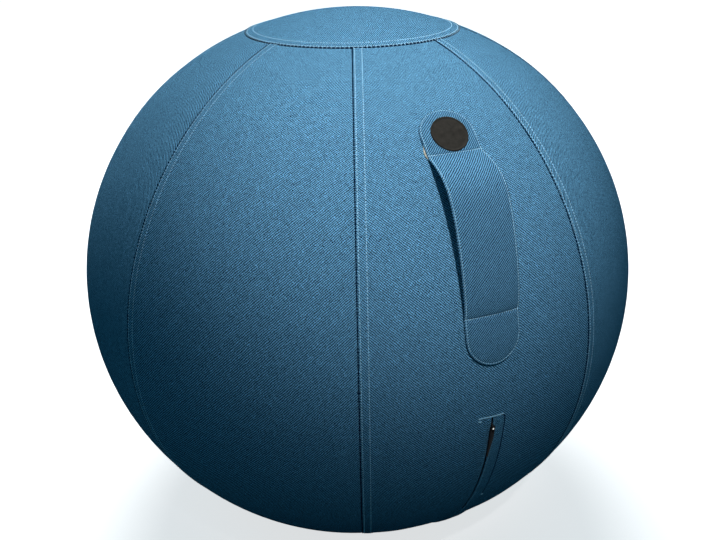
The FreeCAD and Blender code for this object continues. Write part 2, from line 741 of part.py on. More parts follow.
def draw_side(sketch, arcs, lift):
    """Draw the strap's line lifted off by a distance; gives its first and last points."""
    ends = []
    for centre, radius, start, end in arcs:
        reach = abs(radius) + (lift if radius < 0 else -lift)
        first = centre + (start - centre).normalize() * reach
        last = centre + (end - centre).normalize() * reach
        angles = [math.atan2(point.y - centre.y, point.x - centre.x) for point in (first, last)]
        if radius < 0:
            angles.reverse()
        circle = Part.Circle(centre, UP, reach)
        number = sketch.addGeometry(Part.ArcOfCircle(circle, *angles))
        sketch.addConstraint(Sketcher.Constraint("Block", number))
        ends += [first, last]
    return ends[0], ends[-1]


def make_handle():
    """Strap of webbing under padded cloth, with round tabs sewn to the cover."""
    arcs = handle_arcs()
    webbing = worth("Sizes.webbing")
    cloth = worth("Sizes.webbing + Sizes.strap_cloth")
    cloth_low = worth("Sizes.webbing + Sizes.fixed_gap")
    for node, low, high, edge in (("handle_webbing", 0.0, webbing, "Sizes.webbing_inset"),
                                  ("handle_cloth", cloth_low, cloth, "0")):
        body = new_body(node)
        sketch = new_sketch(body, "XZ_Plane", "side")
        inner = draw_side(sketch, arcs, low)
        outer = draw_side(sketch, arcs, high)
        for start, end in zip(inner, outer):
            line = sketch.addGeometry(Part.LineSegment(start, end))
            sketch.addConstraint(Sketcher.Constraint("Block", line))
        width = f"Sizes.handle_width - 2 * {edge}"
        pad(body, sketch, width)
        half = worth(width) / 2
        round_edges(body, f"({width}) / 2 - Sizes.sewn_gap", tip_test(half, inner, outer))
        face_front(body)


def tip_test(half, inner, outer):
    """Test for the four short edges at the corners of the strap's two ends."""

    def is_tip(edge):
        box = edge.BoundBox
        if box.YLength > 1e-6 or abs(abs(box.YMin) - half) > 1e-6:
            return False
        middle = edge.CenterOfMass
        for low, high in zip(inner, outer):
            wanted = (low + high) * 0.5
            if abs(middle.x - wanted.x) < 1e-3 and abs(middle.z - wanted.y) < 1e-3:
                return True
        return False

    return is_tip


def make_badge():
    """Plain round badge with a raised rim, in the middle of the upper tab's round end."""
    body = new_body("handle_badge")
    sketch = new_sketch(body, "XZ_Plane", "section")
    base = "Worked.flap_in + Sizes.webbing + Sizes.strap_cloth + Sizes.fixed_gap"
    face = f"{base} + Sizes.badge_plate"
    rim = f"{face} + Sizes.badge_rim"
    edge = "Sizes.badge_diameter / 2"
    inner = f"{edge} - Sizes.badge_rim_width"
    add_outline(sketch, ((base, "0"), (base, edge), (rim, edge), (rim, inner),
                         (face, f"{inner} - Sizes.badge_rim"), (face, "0")))
    revolve(body, sketch, axis="H_Axis")
    body.Placement = on_meridian("-Worked.badge_angle")


# The whole chair


def check(piece):
    """Refuse a piece that failed to build."""
    shape = piece.Shape
    if shape.isNull() or not shape.isValid() or not shape.Solids:
        raise RuntimeError(f"{piece.Label} has no valid solid")


def main():
    make_gores()
    make_round_panels()
    make_ball()
    make_valve()
    make_zip_sides()
    make_zip_ends()
    make_slider()
    make_pull()
    make_handle()
    make_badge()
    doc.removeObject(sums.Name)
    doc.recompute()
    for item in doc.Objects:
        if {"Invalid", "Error"} & set(item.State):
            raise RuntimeError(f"{item.Label} failed: {item.State}")
    for piece in pieces.values():
        check(piece)
    os.makedirs("parts", exist_ok=True)
    for node, piece in pieces.items():
        piece.Shape.exportStep(f"parts/{node}.step")
        print(node, round(piece.Shape.Volume, 1), piece.Shape.BoundBox)


main()
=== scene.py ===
"""Looks of a sitting ball: a sewn cloth cover with a carry handle and a zip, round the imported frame.

The cloth pieces are drawn flat, as a sewer cuts them: x across, y up along the cover from its
widest place, z the height over the cover. Geometry Nodes then lay them on the ball.
"""

import logging
import math
from collections.abc import Callable, Sequence
from dataclasses import dataclass, field
from enum import Enum
from functools import cache
from typing import ClassVar

import bmesh
import bpy
import numpy as np
from mathutils import Matrix, Vector


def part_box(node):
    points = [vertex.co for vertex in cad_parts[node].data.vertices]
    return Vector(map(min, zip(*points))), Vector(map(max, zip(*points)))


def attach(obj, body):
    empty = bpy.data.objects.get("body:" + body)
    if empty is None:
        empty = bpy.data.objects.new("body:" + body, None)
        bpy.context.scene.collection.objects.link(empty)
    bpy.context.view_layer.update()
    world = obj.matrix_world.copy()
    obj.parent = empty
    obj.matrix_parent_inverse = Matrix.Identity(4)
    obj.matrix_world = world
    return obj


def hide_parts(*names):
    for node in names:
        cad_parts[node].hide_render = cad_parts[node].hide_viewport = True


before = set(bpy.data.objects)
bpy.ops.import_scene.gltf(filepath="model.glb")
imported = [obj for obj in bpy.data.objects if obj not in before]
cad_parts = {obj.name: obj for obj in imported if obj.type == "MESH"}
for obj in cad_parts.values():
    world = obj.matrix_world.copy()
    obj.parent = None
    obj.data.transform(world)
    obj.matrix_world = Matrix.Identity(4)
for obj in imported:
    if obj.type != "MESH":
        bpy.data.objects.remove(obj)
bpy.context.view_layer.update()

LOG = logging.getLogger("sitting_ball")
MM = 0.001
LAY_MAP = "lay"
OUTWARD = "outward"
WHITE = (1.0, 1.0, 1.0, 1.0)
Colour = tuple[float, float, float]
Socket = bpy.types.NodeSocket
Numbers = np.ndarray | float
Change = Callable[[np.ndarray, float], np.ndarray]

# Place of the zip's upper end up along the cover, and the zip's length, both in millimetres.
ZIP_TOP = -15.69
ZIP_LENGTH = 303.0


class Body(Enum):
    """Bodies of the frame that pieces ride on."""

    COVER = "cover"
    SLIDER = "slider"
    PULL = "pull"


class Crown(Enum):
    """The two round ends of the cover."""

    TOP = 1.0
    BASE = -1.0


class Side(Enum):
    """The two sides of the zip, by the sign of x."""

    LEFT = -1.0
    RIGHT = 1.0


# Node trees


class Value:
    """A socket that carries a number, with arithmetic that adds Math nodes to its tree."""

    def __init__(self, wiring: "Wiring", socket: Socket) -> None:
        """Keep the socket and the tree that it belongs to."""
        self.wiring = wiring
        self.socket = socket

    def __add__(self, other: "Value | float") -> "Value":
        """Sum of two numbers."""
        return self.wiring.maths("ADD", self, other)

    def __sub__(self, other: "Value | float") -> "Value":
        """Difference of two numbers."""
        return self.wiring.maths("SUBTRACT", self, other)

    def __rsub__(self, other: float) -> "Value":
        """A plain number less this one."""
        return self.wiring.maths("SUBTRACT", other, self)

    def __mul__(self, other: "Value | float") -> "Value":
        """Product of two numbers."""
        return self.wiring.maths("MULTIPLY", self, other)

    def __truediv__(self, other: "Value | float") -> "Value":
        """Quotient of two numbers."""
        return self.wiring.maths("DIVIDE", self, other)

    def __rtruediv__(self, other: float) -> "Value":
        """A plain number divided by this one."""
        return self.wiring.maths("DIVIDE", other, self)

    __radd__ = __add__


class Wiring:
    """Adds nodes to one tree and joins them."""

    def __init__(self, tree: bpy.types.NodeTree) -> None:
        """Keep the tree."""
        self.tree = tree

    def join(self, source: object, target: Socket) -> None:
        """Feed an input.

        Args:
            source: What feeds it: a socket, a value or a plain number.
            target: The input.
        """
        if isinstance(source, Value):
            source = source.socket
        if isinstance(source, Socket):
            self.tree.links.new(source, target)
        else:
            target.default_value = source

    def node(self, kind: str, feeds: dict | None = None, **facts: object) -> bpy.types.Node:
        """Add a node.

        Args:
            kind: Blender's name for the type of node.
            feeds: What feeds each input, by the input's name or number.
            facts: Values of the node's own properties.

        Returns:
            The new node.
        """
        node = self.tree.nodes.new(kind)
        for name, value in facts.items():
            setattr(node, name, value)
        for name, source in (feeds or {}).items():
            self.join(source, node.inputs[name])
        return node

    def maths(self, operation: str, *items: Value | float) -> Value:
        """Result of a Math node on its inputs in order."""
        node = self.node("ShaderNodeMath", dict(enumerate(items)), operation=operation)
        return Value(self, node.outputs[0])

    def vector(self, x: Value | float, y: Value | float, z: Value | float) -> Socket:
        """Vector of three numbers."""
        return self.node("ShaderNodeCombineXYZ", {0: x, 1: y, 2: z}).outputs[0]

    def split(self, vector: Socket) -> list[Value]:
        """The three numbers of a vector or a colour."""
        return [Value(self, socket) for socket in self.node("ShaderNodeSeparateXYZ", {0: vector}).outputs]

    def scaled(self, vector: Socket, factor: Value | float) -> Socket:
        """A vector or a colour times a number."""
        return self.node("ShaderNodeVectorMath", {0: vector, "Scale": factor}, operation="SCALE").outputs[0]

    def blend(self, share: Value, first: object, second: object) -> Socket:
        """Colour between two colours, the second where the share is 1."""
        return self.node("ShaderNodeMix", {0: share, 6: first, 7: second}, data_type="RGBA").outputs[2]

    def noise(self, place: Socket, scale: float, detail: float) -> bpy.types.Node:
        """Noise texture at a place."""
        return self.node("ShaderNodeTexNoise", {"Vector": place, "Scale": scale, "Detail": detail})

    def ramp(self, value: Value, low: float, high: float, start: float, end: float) -> Value:
        """Smooth ramp of a number, from start where it is low to end where it is high."""
        feeds = {"Value": value, "From Min": low, "From Max": high, "To Min": start, "To Max": end}
        return Value(self, self.node("ShaderNodeMapRange", feeds, interpolation_type="SMOOTHSTEP").outputs[0])

    def seen_by(self, *rays: str) -> Value:
        """Share of light that comes by one of the named kinds of ray.

        Args:
            rays: Names of Light Path's outputs.

        Returns:
            1 for any of them, 0 for the others.
        """
        path = self.node("ShaderNodeLightPath")
        seen, *others = (Value(self, path.outputs[ray]) for ray in rays)
        for other in others:
            seen = self.maths("MAXIMUM", seen, other)
        return seen


SOCKETS = {
    float: "NodeSocketFloat",
    int: "NodeSocketInt",
    tuple: "NodeSocketColor",
    "vector": "NodeSocketVector",
    "geometry": "NodeSocketGeometry",
    "material": "NodeSocketMaterial",
}


def opaque(value: object) -> object:
    """A colour made opaque by a fourth number, and anything else as it is."""
    return (*value, 1.0) if isinstance(value, tuple) else value


class Group(Wiring):
    """A node group with named sockets."""

    def __init__(self, name: str, kind: str, inputs: dict[str, object], outputs: dict[str, object]) -> None:
        """Start the group.

        Args:
            name: Name of the group.
            kind: GeometryNodeTree or ShaderNodeTree.
            inputs: Each input's first value, or the name of its type where it has none.
            outputs: Each output's type, in the same way.
        """
        super().__init__(bpy.data.node_groups.new(name, kind))
        for way, rows in (("INPUT", inputs), ("OUTPUT", outputs)):
            for label, value in rows.items():
                typed = isinstance(value, str)
                key = value if typed else type(value)
                made = self.tree.interface.new_socket(name=label, in_out=way, socket_type=SOCKETS[key])
                if way == "INPUT" and not typed:
                    made.default_value = opaque(value)
        self.given = {socket.name: socket for socket in self.node("NodeGroupInput").outputs if socket.name}

    def values(self, *names: str) -> list[Value]:
        """Inputs that carry numbers."""
        return [Value(self, self.given[name]) for name in names]


class GeometryGroup(Group):
    """A geometry tree with its sizes as inputs."""

    def __init__(self, name: str, sizes: dict[str, float | int]) -> None:
        """Start the tree."""
        inputs = {"Geometry": "geometry", **sizes, "Material": "material"}
        super().__init__(name, "GeometryNodeTree", inputs, {"Geometry": "geometry"})

    def finish(self, geometry: Socket) -> None:
        """End the tree in Realize Instances and Set Material.

        Args:
            geometry: What it has made.
        """
        real = self.node("GeometryNodeRealizeInstances", {"Geometry": geometry})
        smooth = self.node("GeometryNodeSetShadeSmooth", {"Geometry": real.outputs[0]})
        feeds = {"Geometry": smooth.outputs[0], "Material": self.given["Material"]}
        dressed = self.node("GeometryNodeSetMaterial", feeds)
        self.node("NodeGroupOutput", {"Geometry": dressed.outputs[0]})

    def lay(self, outward: Socket, place: Socket) -> None:
        """Store the cover's outward direction on each point, move the points and end the tree.

        Args:
            outward: The direction.
            place: Where each point goes.
        """
        feeds = {"Geometry": self.given["Geometry"], "Name": OUTWARD}
        kind = "GeometryNodeStoreNamedAttribute"
        noted = self.node(kind, feeds, data_type="FLOAT_VECTOR", domain="POINT")
        self.join(outward, next(s for s in noted.inputs if s.name == "Value" and s.enabled))
        moved = self.node("GeometryNodeSetPosition", {"Geometry": noted.outputs[0], "Position": place})
        self.finish(moved.outputs[0])

    def tube(self, line: Socket, radius: Socket, capped: bool) -> Socket:
        """Round wire or thread of a few sides along a line.

        Args:
            line: The line.
            radius: Its radius.
            capped: Whether its ends are closed.

        Returns:
            The tube.
        """
        ring = self.node("GeometryNodeCurvePrimitiveCircle", {"Resolution": 5, "Radius": radius})
        feeds = {"Curve": line, "Profile Curve": ring.outputs[0], "Fill Caps": capped}
        return self.node("GeometryNodeCurveToMesh", feeds).outputs[0]

    def repeat(self, part: Socket, turn: Value | float) -> None:
        """Repeat a part along a laid path, upright on the cover, and end the tree.

        Args:
            part: What is repeated.
            turn: Angle of each part about its upright.
        """
        path = self.node("GeometryNodeMeshToCurve", {"Mesh": self.given["Geometry"]})
        feeds = {"Curve": path.outputs[0], "Length": self.given["Pitch"]}
        places = self.node("GeometryNodeResampleCurve", feeds, mode="LENGTH")
        tangent = self.node("GeometryNodeInputTangent").outputs[0]
        kind = "GeometryNodeInputNamedAttribute"
        upright = self.node(kind, {"Name": OUTWARD}, data_type="FLOAT_VECTOR").outputs[0]
        feeds = {"Vector": tangent, "Axis": upright, "Angle": turn}
        spin = self.node("ShaderNodeVectorRotate", feeds, rotation_type="AXIS_ANGLE").outputs[0]
        feeds = {0: upright, 1: spin}
        facing = self.node("FunctionNodeAxesToRotation", feeds, primary_axis="Z", secondary_axis="X")
        chance = self.node("FunctionNodeRandomValue", {"Seed": self.given["Seed"]}, data_type="FLOAT")
        low, high = (s for s in chance.inputs if s.enabled and s.name in ("Min", "Max"))
        (spread,) = self.values("Spread")
        self.join(1.0 - spread, low)
        self.join(1.0 + spread, high)
        feeds = {
            "Points": places.outputs[0],
            "Instance": part,
            "Rotation": facing.outputs[0],
            "Scale": next(s for s in chance.outputs if s.enabled),
        }
        self.finish(self.node("GeometryNodeInstanceOnPoints", feeds).outputs[0])


@dataclass(frozen=True)
class Profile:
    """Outside line of the cover in millimetres: a long arc for the side, tangent to a crown arc."""

    equator: float = 325.0
    side: float = 310.0
    join: float = 60.0
    contact: float = 50.0
    count: int = 8

    @property
    def offset(self) -> float:
        """Axis to the centre of the side's arc."""
        return self.equator - self.side

    @property
    def crown(self) -> float:
        """Radius of the crown arc."""
        return self.side + self.offset / math.cos(math.radians(self.join))

    @property
    def crown_shift(self) -> float:
        """Centre of a crown arc past the middle height."""
        return self.offset * math.tan(math.radians(self.join))

    @property
    def middle(self) -> float:
        """Height of the widest place over the floor."""
        return math.sqrt(self.crown**2 - self.contact**2) - self.crown_shift

    def lean(self, along: np.ndarray) -> np.ndarray:
        """Angle of the surface's outward direction above level.

        Args:
            along: Distances up along the cover from its widest place.

        Returns:
            Angles in radians.
        """
        reach = self.side * math.radians(self.join)
        inner = np.clip(along, -reach, reach)
        return inner / self.side + (along - inner) / self.crown

    def half_width(self, along: np.ndarray) -> np.ndarray:
        """Half the width of one gore.

        Args:
            along: Distances up along the cover from its widest place.

        Returns:
            Half widths in millimetres.
        """
        cosine = np.cos(self.lean(along))
        share = np.minimum(1.0, cosine / math.cos(math.radians(self.join)))
        return (self.side * cosine + self.offset * share) * math.pi / self.count

    def up_to(self, seam: float) -> float:
        """Distance along the cover from its widest place to a round seam of a radius."""
        join = math.radians(self.join)
        return self.side * join + self.crown * (math.acos(seam / self.crown) - join)


PROFILE = Profile()


def side_tree() -> GeometryGroup:
    """Build the tree that lays a flat piece on the side of the ball.

    Returns:
        The tree.
    """
    sizes = {
        "Equator Radius": PROFILE.equator * MM,
        "Side Radius": PROFILE.side * MM,
        "Crown From": math.radians(PROFILE.join),
        "Middle Height": PROFILE.middle * MM,
        "Turn": 0.0,
    }
    tree = GeometryGroup("Lay on the side", sizes)
    equator, side, join, middle, turn = tree.values(*sizes)
    across, along, lift = tree.split(tree.node("GeometryNodeInputPosition").outputs[0])
    offset = equator - side
    cos_join = tree.maths("COSINE", join)
    crown = side + offset / cos_join
    reach = side * join
    inner = tree.maths("MAXIMUM", tree.maths("MINIMUM", along, reach), reach * -1.0)
    lean = inner / side + (along - inner) / crown
    cosine, sine = tree.maths("COSINE", lean), tree.maths("SINE", lean)
    radius = side * cosine + offset * tree.maths("MINIMUM", cosine / cos_join, 1.0)
    past = tree.maths("ABSOLUTE", sine) / cos_join - tree.maths("TANGENT", join)
    bent = offset * tree.maths("MAXIMUM", past, 0.0) * tree.maths("SIGN", sine)
    height = middle + side * sine + bent + lift * sine
    angle = across / radius + turn
    east, south = tree.maths("SINE", angle), tree.maths("COSINE", angle) * -1.0
    out = radius + lift * cosine
    tree.lay(tree.vector(cosine * east, cosine * south, sine), tree.vector(out * east, out * south, height))
    return tree


def crown_tree() -> GeometryGroup:
    """Build the tree that lays a flat piece on the top or on the base of the ball.

    Returns:
        The tree.
    """
    sizes = {
        "Crown Radius": PROFILE.crown * MM,
        "Centre Height": PROFILE.middle * MM,
        "Way": 1.0,
        "Lowest": 0.0,
    }
    tree = GeometryGroup("Lay on a crown", sizes)
    crown, centre, way, lowest = tree.values(*sizes)
    across, along, lift = tree.split(tree.node("GeometryNodeInputPosition").outputs[0])
    not_zero = 1e-7
    distance = tree.maths("MAXIMUM", tree.maths("SQRT", across * across + along * along), not_zero)
    east, north = across / distance, along / distance
    lean = distance / crown
    sine, cosine = tree.maths("SINE", lean), tree.maths("COSINE", lean) * way
    reach = crown + lift
    height = tree.maths("MAXIMUM", centre + reach * cosine, lowest)
    place = tree.vector(east * sine * reach, north * sine * reach, height)
    tree.lay(tree.vector(east * sine, north * sine, cosine), place)
    return tree


def stitch_tree() -> GeometryGroup:
    """Build the tree that sews a row of stitches along a path.

    Returns:
        The tree.
    """
    sizes = {
        "Pitch": 2.8 * MM,
        "Length": 2.1 * MM,
        "Thread Radius": 0.28 * MM,
        "Rise": 0.45 * MM,
        "Turn": 0.0,
        "Spread": 0.06,
        "Seed": 1,
    }
    tree = GeometryGroup("Row of stitches", sizes)
    length, rise, turn = tree.values("Length", "Rise", "Turn")
    half, low, crest = length * 0.5, rise * -0.5, rise * 1.2
    feeds = {
        "Resolution": 4,
        "Start": tree.vector(half * -1.0, 0.0, low),
        "Middle": tree.vector(0.0, 0.0, crest),
        "End": tree.vector(half, 0.0, low),
    }
    line = tree.node("GeometryNodeCurveQuadraticBezier", feeds).outputs[0]
    tree.repeat(tree.tube(line, tree.given["Thread Radius"], capped=True), turn)
    return tree


def coil_tree() -> GeometryGroup:
    """Build the tree that lays the loops of a zip's coil along a path.

    Returns:
        The tree.
    """
    sizes = {
        "Pitch": 1.3 * MM,
        "Width": 2.8 * MM,
        "Height": 1.5 * MM,
        "Wire Radius": 0.32 * MM,
        "Spread": 0.0,
        "Seed": 1,
    }
    tree = GeometryGroup("Loops of a coil", sizes)
    pitch, width, height, wire = tree.values("Pitch", "Width", "Height", "Wire Radius")
    loop = tree.node("GeometryNodeCurvePrimitiveCircle", {"Resolution": 14, "Radius": 1.0})
    turned = tree.node("GeometryNodeTransform", {"Geometry": loop.outputs[0]})
    turned.inputs["Rotation"].default_value = (math.pi / 2, 0.0, math.pi / 2)
    size = tree.vector(pitch, width * 0.5 - wire, height * 0.5 - wire)
    sized = tree.node("GeometryNodeTransform", {"Geometry": turned.outputs[0], "Scale": size})
    tree.repeat(tree.tube(sized.outputs[0], tree.given["Wire Radius"], capped=False), 0.0)
    return tree


# Finishes

SURFACE = {"Base Color": (0.0, 0.0, 0.0), "Height": 0.0, "Roughness": 0.0}


@cache
def weave_group() -> bpy.types.NodeTree:
    """Build the shader group of two colours of thread, woven in a twill that a coarser check softens, with
    painted shade where the threads round down and go under.

    Returns:
        The group's tree.
    """
    # Gap is the share of painted shade where each thread rounds down to its edges and sags under the other.
    numbers = {"Pitch": 1.0, "Gap": 0.35, "Slub": 0.25, "Speckle": 0.3, "Slips": 0.2, "Seed": 0.0}
    colours = {"Warp": (0.02, 0.06, 0.10), "Weft": (0.12, 0.34, 0.50)}
    group = Group("Woven threads", "ShaderNodeTree", {"Vector": "vector", **numbers, **colours}, SURFACE)
    pitch, gap, slub, speckle, slips, seed = group.values(*numbers)
    # The threads wander slowly, so that no long straight line stands out.
    wander, drift_scale = 2.6, 0.16
    drift = group.noise(group.given["Vector"], drift_scale, 2.0)
    drift_x, drift_y, _ = group.split(drift.outputs["Color"])
    along_x, along_y, _ = group.split(group.given["Vector"])
    across = along_x / pitch + (drift_x - 0.5) * wander
    up = along_y / pitch + (drift_y - 0.5) * wander
    column, row = group.maths("FLOOR", across), group.maths("FLOOR", up)
    crossing = group.node("ShaderNodeTexWhiteNoise", {"Vector": group.vector(column, row, seed)})
    chance, fleck, _ = group.split(crossing.outputs["Color"])
    # Which colour lies on top: two over and two under, with a few slips, and a check of two by two.
    twill = group.maths("LESS_THAN", group.maths("FLOORED_MODULO", column - row, 4.0), 2.0)
    block = group.maths("FLOOR", column / 2.0) + group.maths("FLOOR", row / 2.0)
    check = group.maths("FLOORED_MODULO", block, 2.0)
    over = group.maths("ABSOLUTE", twill - group.maths("LESS_THAN", chance, slips))
    twill_share = 0.68
    odd = (1.0 - over) * twill_share + check * (1.0 - twill_share)
    even = 1.0 - odd
    # Each thread is round across itself and sags a little where it goes under.
    round_x = group.maths("SINE", (across - column) * math.pi)
    round_y = group.maths("SINE", (up - row) * math.pi)
    flatness, sag = 0.6, 0.35
    warp_top, weft_top = (
        group.maths("POWER", own, flatness) * (other * sag + (1.0 - sag))
        for own, other in ((round_x, round_y), (round_y, round_x))
    )
    height = warp_top * odd + weft_top * even
    # Thicker and thinner places along every thread.
    apart, stretched, slub_scale = 0.731, 0.16, 1.7
    threads = []
    for line, across_line, shift in ((column, up, 3.7), (row, across, 11.3)):
        place = group.vector(line * apart + seed + shift, across_line * stretched, seed)
        threads.append(Value(group, group.noise(place, slub_scale, 2.0).outputs[0]) - 0.5)
    uneven = threads[0] * odd + threads[1] * even
    fleck = fleck - 0.5
    # Painted shade: the colour darkens by the Gap share where a thread rounds down and goes under; slub and
    # speckle are the threads' own uneven tone.
    shade = (1.0 - gap) + height * gap + uneven * slub + fleck * speckle
    plain = group.blend(odd, group.given["Weft"], group.given["Warp"])
    relief = height - odd * 0.8 + uneven * 0.4 + fleck * 0.3
    feeds = {"Base Color": group.scaled(plain, shade), "Height": relief, "Roughness": 0.92 - height * 0.12}
    group.node("NodeGroupOutput", feeds)
    return group.tree


@cache
def grain_group() -> bpy.types.NodeTree:
    """Build the shader group of fine moulded or brushed grain.

    Returns:
        The group's tree.
    """
    numbers = {"Size": 0.4, "Stretch": 1.0, "Mottle": 0.15, "Roughness": 0.5}
    inputs = {"Vector": "vector", "Colour": (0.1, 0.1, 0.1), **numbers}
    group = Group("Fine grain", "ShaderNodeTree", inputs, SURFACE)
    size, stretch, mottle, roughness = group.values(*numbers)
    x, y, z = group.split(group.given["Vector"])
    place = group.vector(x / size, y / size, z / (size * stretch))
    height = Value(group, group.noise(place, 1.0, 3.0).outputs[0])
    fine = height - 0.5
    cloud = Value(group, group.noise(place, 0.07, 2.0).outputs[0]) - 0.5
    shade = fine * mottle + cloud * mottle * 2.0 + 1.0
    rough = roughness + fine * 0.2 + cloud * 0.15
    feeds = {"Base Color": group.scaled(group.given["Colour"], shade), "Height": height, "Roughness": rough}
    group.node("NodeGroupOutput", feeds)
    return group.tree


@cache
def worn_group() -> bpy.types.NodeTree:
    """Build the shader group of dark paint that has worn off its metal below a level.

    Returns:
        The group's tree.
    """
    numbers = {"Level": 0.0, "Soft": 0.5, "Grain": 0.5}
    inputs = {"Vector": "vector", "Paint": (0.01, 0.01, 0.01), "Metal": (0.7, 0.7, 0.7), **numbers}
    group = Group("Worn paint", "ShaderNodeTree", inputs, {**SURFACE, "Metallic": 0.0})
    level, soft, grain = group.values(*numbers)
    place = group.scaled(group.given["Vector"], 1.0 / grain)
    noise = Value(group, group.noise(place, 5.0, 3.0).outputs[0])
    z = group.split(group.given["Vector"])[2]
    ragged = (level - z) / soft + (noise - 0.5) * 2.0
    bare = group.maths("MINIMUM", group.maths("MAXIMUM", ragged, 0.0), 1.0)
    colour = group.blend(bare, group.given["Paint"], group.given["Metal"])
    feeds = {"Base Color": colour, "Metallic": bare, "Roughness": 0.5 - bare * 0.25, "Height": noise}
    group.node("NodeGroupOutput", feeds)
    return group.tree


def emptied(owner: bpy.types.Material | bpy.types.World) -> Wiring:
    """Empty the node tree of a material or a world.

    Args:
        owner: The material or the world.

    Returns:
        The wiring of its tree.
    """
    owner.use_nodes = True
    owner.node_tree.nodes.clear()
    return Wiring(owner.node_tree)


@dataclass(frozen=True)
class Finish:
    """Common part of every finish: its name, its relief and the plain values of its shader.

    The other fields of a finish go into the inputs of the same names of its pattern's group.
    """

    pattern: ClassVar[Callable[[], bpy.types.NodeTree]]
    name: str
    bump: float = 0.3
    depth: float = 0.2
    plain: tuple[tuple[str, float], ...] = ()

    def place(self, wiring: Wiring) -> Socket:
        """Place on the piece in millimetres, for the pattern to follow."""
        return wiring.scaled(wiring.node("ShaderNodeTexCoord").outputs["Object"], 1.0 / MM)

    def build(self) -> bpy.types.Material:
        """Build the material.

        Returns:
            The material.
        """
        material = bpy.data.materials.new(self.name)
        wiring = emptied(material)
        shader = wiring.node("ShaderNodeBsdfPrincipled", dict(self.plain))
        wiring.node("ShaderNodeOutputMaterial", {"Surface": shader.outputs[0]})
        group = wiring.node("ShaderNodeGroup", node_tree=self.pattern())
        wiring.join(self.place(wiring), group.inputs["Vector"])
        for item in group.inputs:
            if item.name != "Vector":
                item.default_value = opaque(getattr(self, item.name.lower()))
        feeds = {"Strength": self.bump, "Distance": self.depth * MM, "Height": group.outputs["Height"]}
        relief = wiring.node("ShaderNodeBump", feeds)
        wiring.join(relief.outputs[0], shader.inputs["Normal"])
        for item in group.outputs:
            if item.name != "Height":
                wiring.join(item, shader.inputs[item.name])
        return material


@dataclass(frozen=True)
class Cloth(Finish):
    """Woven cloth, its threads laid along the piece's own flat pattern."""

    pattern = staticmethod(weave_group)
    pitch: float = 0.66
    warp: Colour = (0.004, 0.022, 0.056)
    weft: Colour = (0.25, 0.61, 0.93)
    # Share of painted shade where the threads round down and go under.
    gap: float = 0.4
    slub: float = 0.6
    speckle: float = 0.6
    slips: float = 0.012
    seed: float = 0.0

    def place(self, wiring: Wiring) -> Socket:
        """Place on the flat pattern in millimetres."""
        return wiring.node("ShaderNodeUVMap", uv_map=LAY_MAP).outputs[0]


@dataclass(frozen=True)
class Grained(Finish):
    """Moulded, painted or brushed stuff with a fine grain."""

    pattern = staticmethod(grain_group)
    colour: Colour = (0.1, 0.1, 0.1)
    size: float = 0.4
    stretch: float = 1.0
    mottle: float = 0.15
    roughness: float = 0.5


@dataclass(frozen=True)
class WornPaint(Finish):
    """Dark paint on metal, worn bare below a level of the object."""

    pattern = staticmethod(worn_group)
    paint: Colour = (0.008, 0.008, 0.009)
    metal: Colour = (0.72, 0.71, 0.68)
    level: float = 284.6
    soft: float = 0.8
    grain: float = 0.9


MATT = (("Specular IOR Level", 0.0),)
DULL = (("Specular IOR Level", 0.04),)
SATIN = (("Specular IOR Level", 0.1),)
MATERIALS = {
    finish.name: finish.build()
    for finish in (
        Cloth("cover_cloth", plain=MATT),
        Cloth(
            "handle_cloth", plain=MATT, pitch=0.62, seed=5.0, speckle=0.3, slips=0.0,
            warp=(0.004, 0.02, 0.05), weft=(0.2, 0.485, 0.755),
        ),
        Cloth(
            "webbing", plain=MATT, pitch=1.1, speckle=0.3, gap=0.5,
            warp=(0.66, 0.58, 0.46), weft=(0.90, 0.84, 0.72),
        ),
        Cloth("zip_tape", plain=MATT, pitch=0.5, warp=(0.008, 0.010, 0.014), weft=(0.02, 0.024, 0.03)),
        Grained(
            "thread", plain=MATT, size=0.25, stretch=2.0, mottle=0.2, roughness=0.7,
            colour=(0.50, 0.80, 0.98),
        ),
        # Dark thread along the seams and the flap's crease, laid thick and close so that it also stands as
        # painted shade there.
        Grained(
            "seam_thread_and_shade", plain=MATT, size=0.25, mottle=0.4, roughness=0.8,
            colour=(0.005, 0.024, 0.065),
        ),
        Grained("zip_coil", size=0.5, roughness=0.35, colour=(0.012, 0.013, 0.016)),
        WornPaint("zip_metal", plain=SATIN, bump=0.1),
        Grained(
            "pull_metal", plain=DULL, size=0.3, mottle=0.2, roughness=0.5, depth=0.05,
            colour=(0.006, 0.006, 0.007),
        ),
        Grained(
            "badge_rubber", plain=DULL, size=0.35, mottle=0.5, roughness=0.62,
            colour=(0.030, 0.027, 0.023),
        ),
        Grained("ball_vinyl", size=1.2, roughness=0.38, depth=0.05, colour=(0.30, 0.32, 0.34)),
        Grained(
            "valve_plastic", size=0.5, mottle=0.05, roughness=0.4, depth=0.05,
            colour=(0.72, 0.71, 0.68),
        ),
    )
}


# Flat patterns


def add_object(name: str, data: bpy.types.ID) -> bpy.types.Object:
    """Put data into the scene.

    Args:
        name: Name of the object.
        data: Its mesh, light or camera.

    Returns:
        The new object.
    """
    made = bpy.data.objects.new(name, data)
    bpy.context.scene.collection.objects.link(made)
    return made


def flat_line(across: Numbers, along: Numbers, height: Numbers) -> np.ndarray:
    """Points of a flat line, each with its own numbers or with one that all share."""
    return np.stack(np.broadcast_arrays(across, along, height), axis=1)


def circle(radius: float, turns: np.ndarray, height: Numbers, centre: float = 0.0) -> np.ndarray:
    """Points of a flat circle at angles round its centre, which may lie up along the cover."""
    return flat_line(radius * np.cos(turns), centre + radius * np.sin(turns), height)


def grid_faces(rows: int, columns: int, ring: bool = False) -> list[tuple[int, ...]]:
    """Faces of a grid whose points are numbered row by row.

    Args:
        rows: Rows of points, the first the lowest.
        columns: Points in a row, from left to right.
        ring: Whether the last column joins the first.

    Returns:
        Corner numbers of each face, seen from outside.
    """
    faces = []
    for low in range(0, (rows - 1) * columns, columns):
        high = low + columns
        for column in range(columns if ring else columns - 1):
            after = (column + 1) % columns
            faces.append((low + column, low + after, high + after, high + column))
    return faces


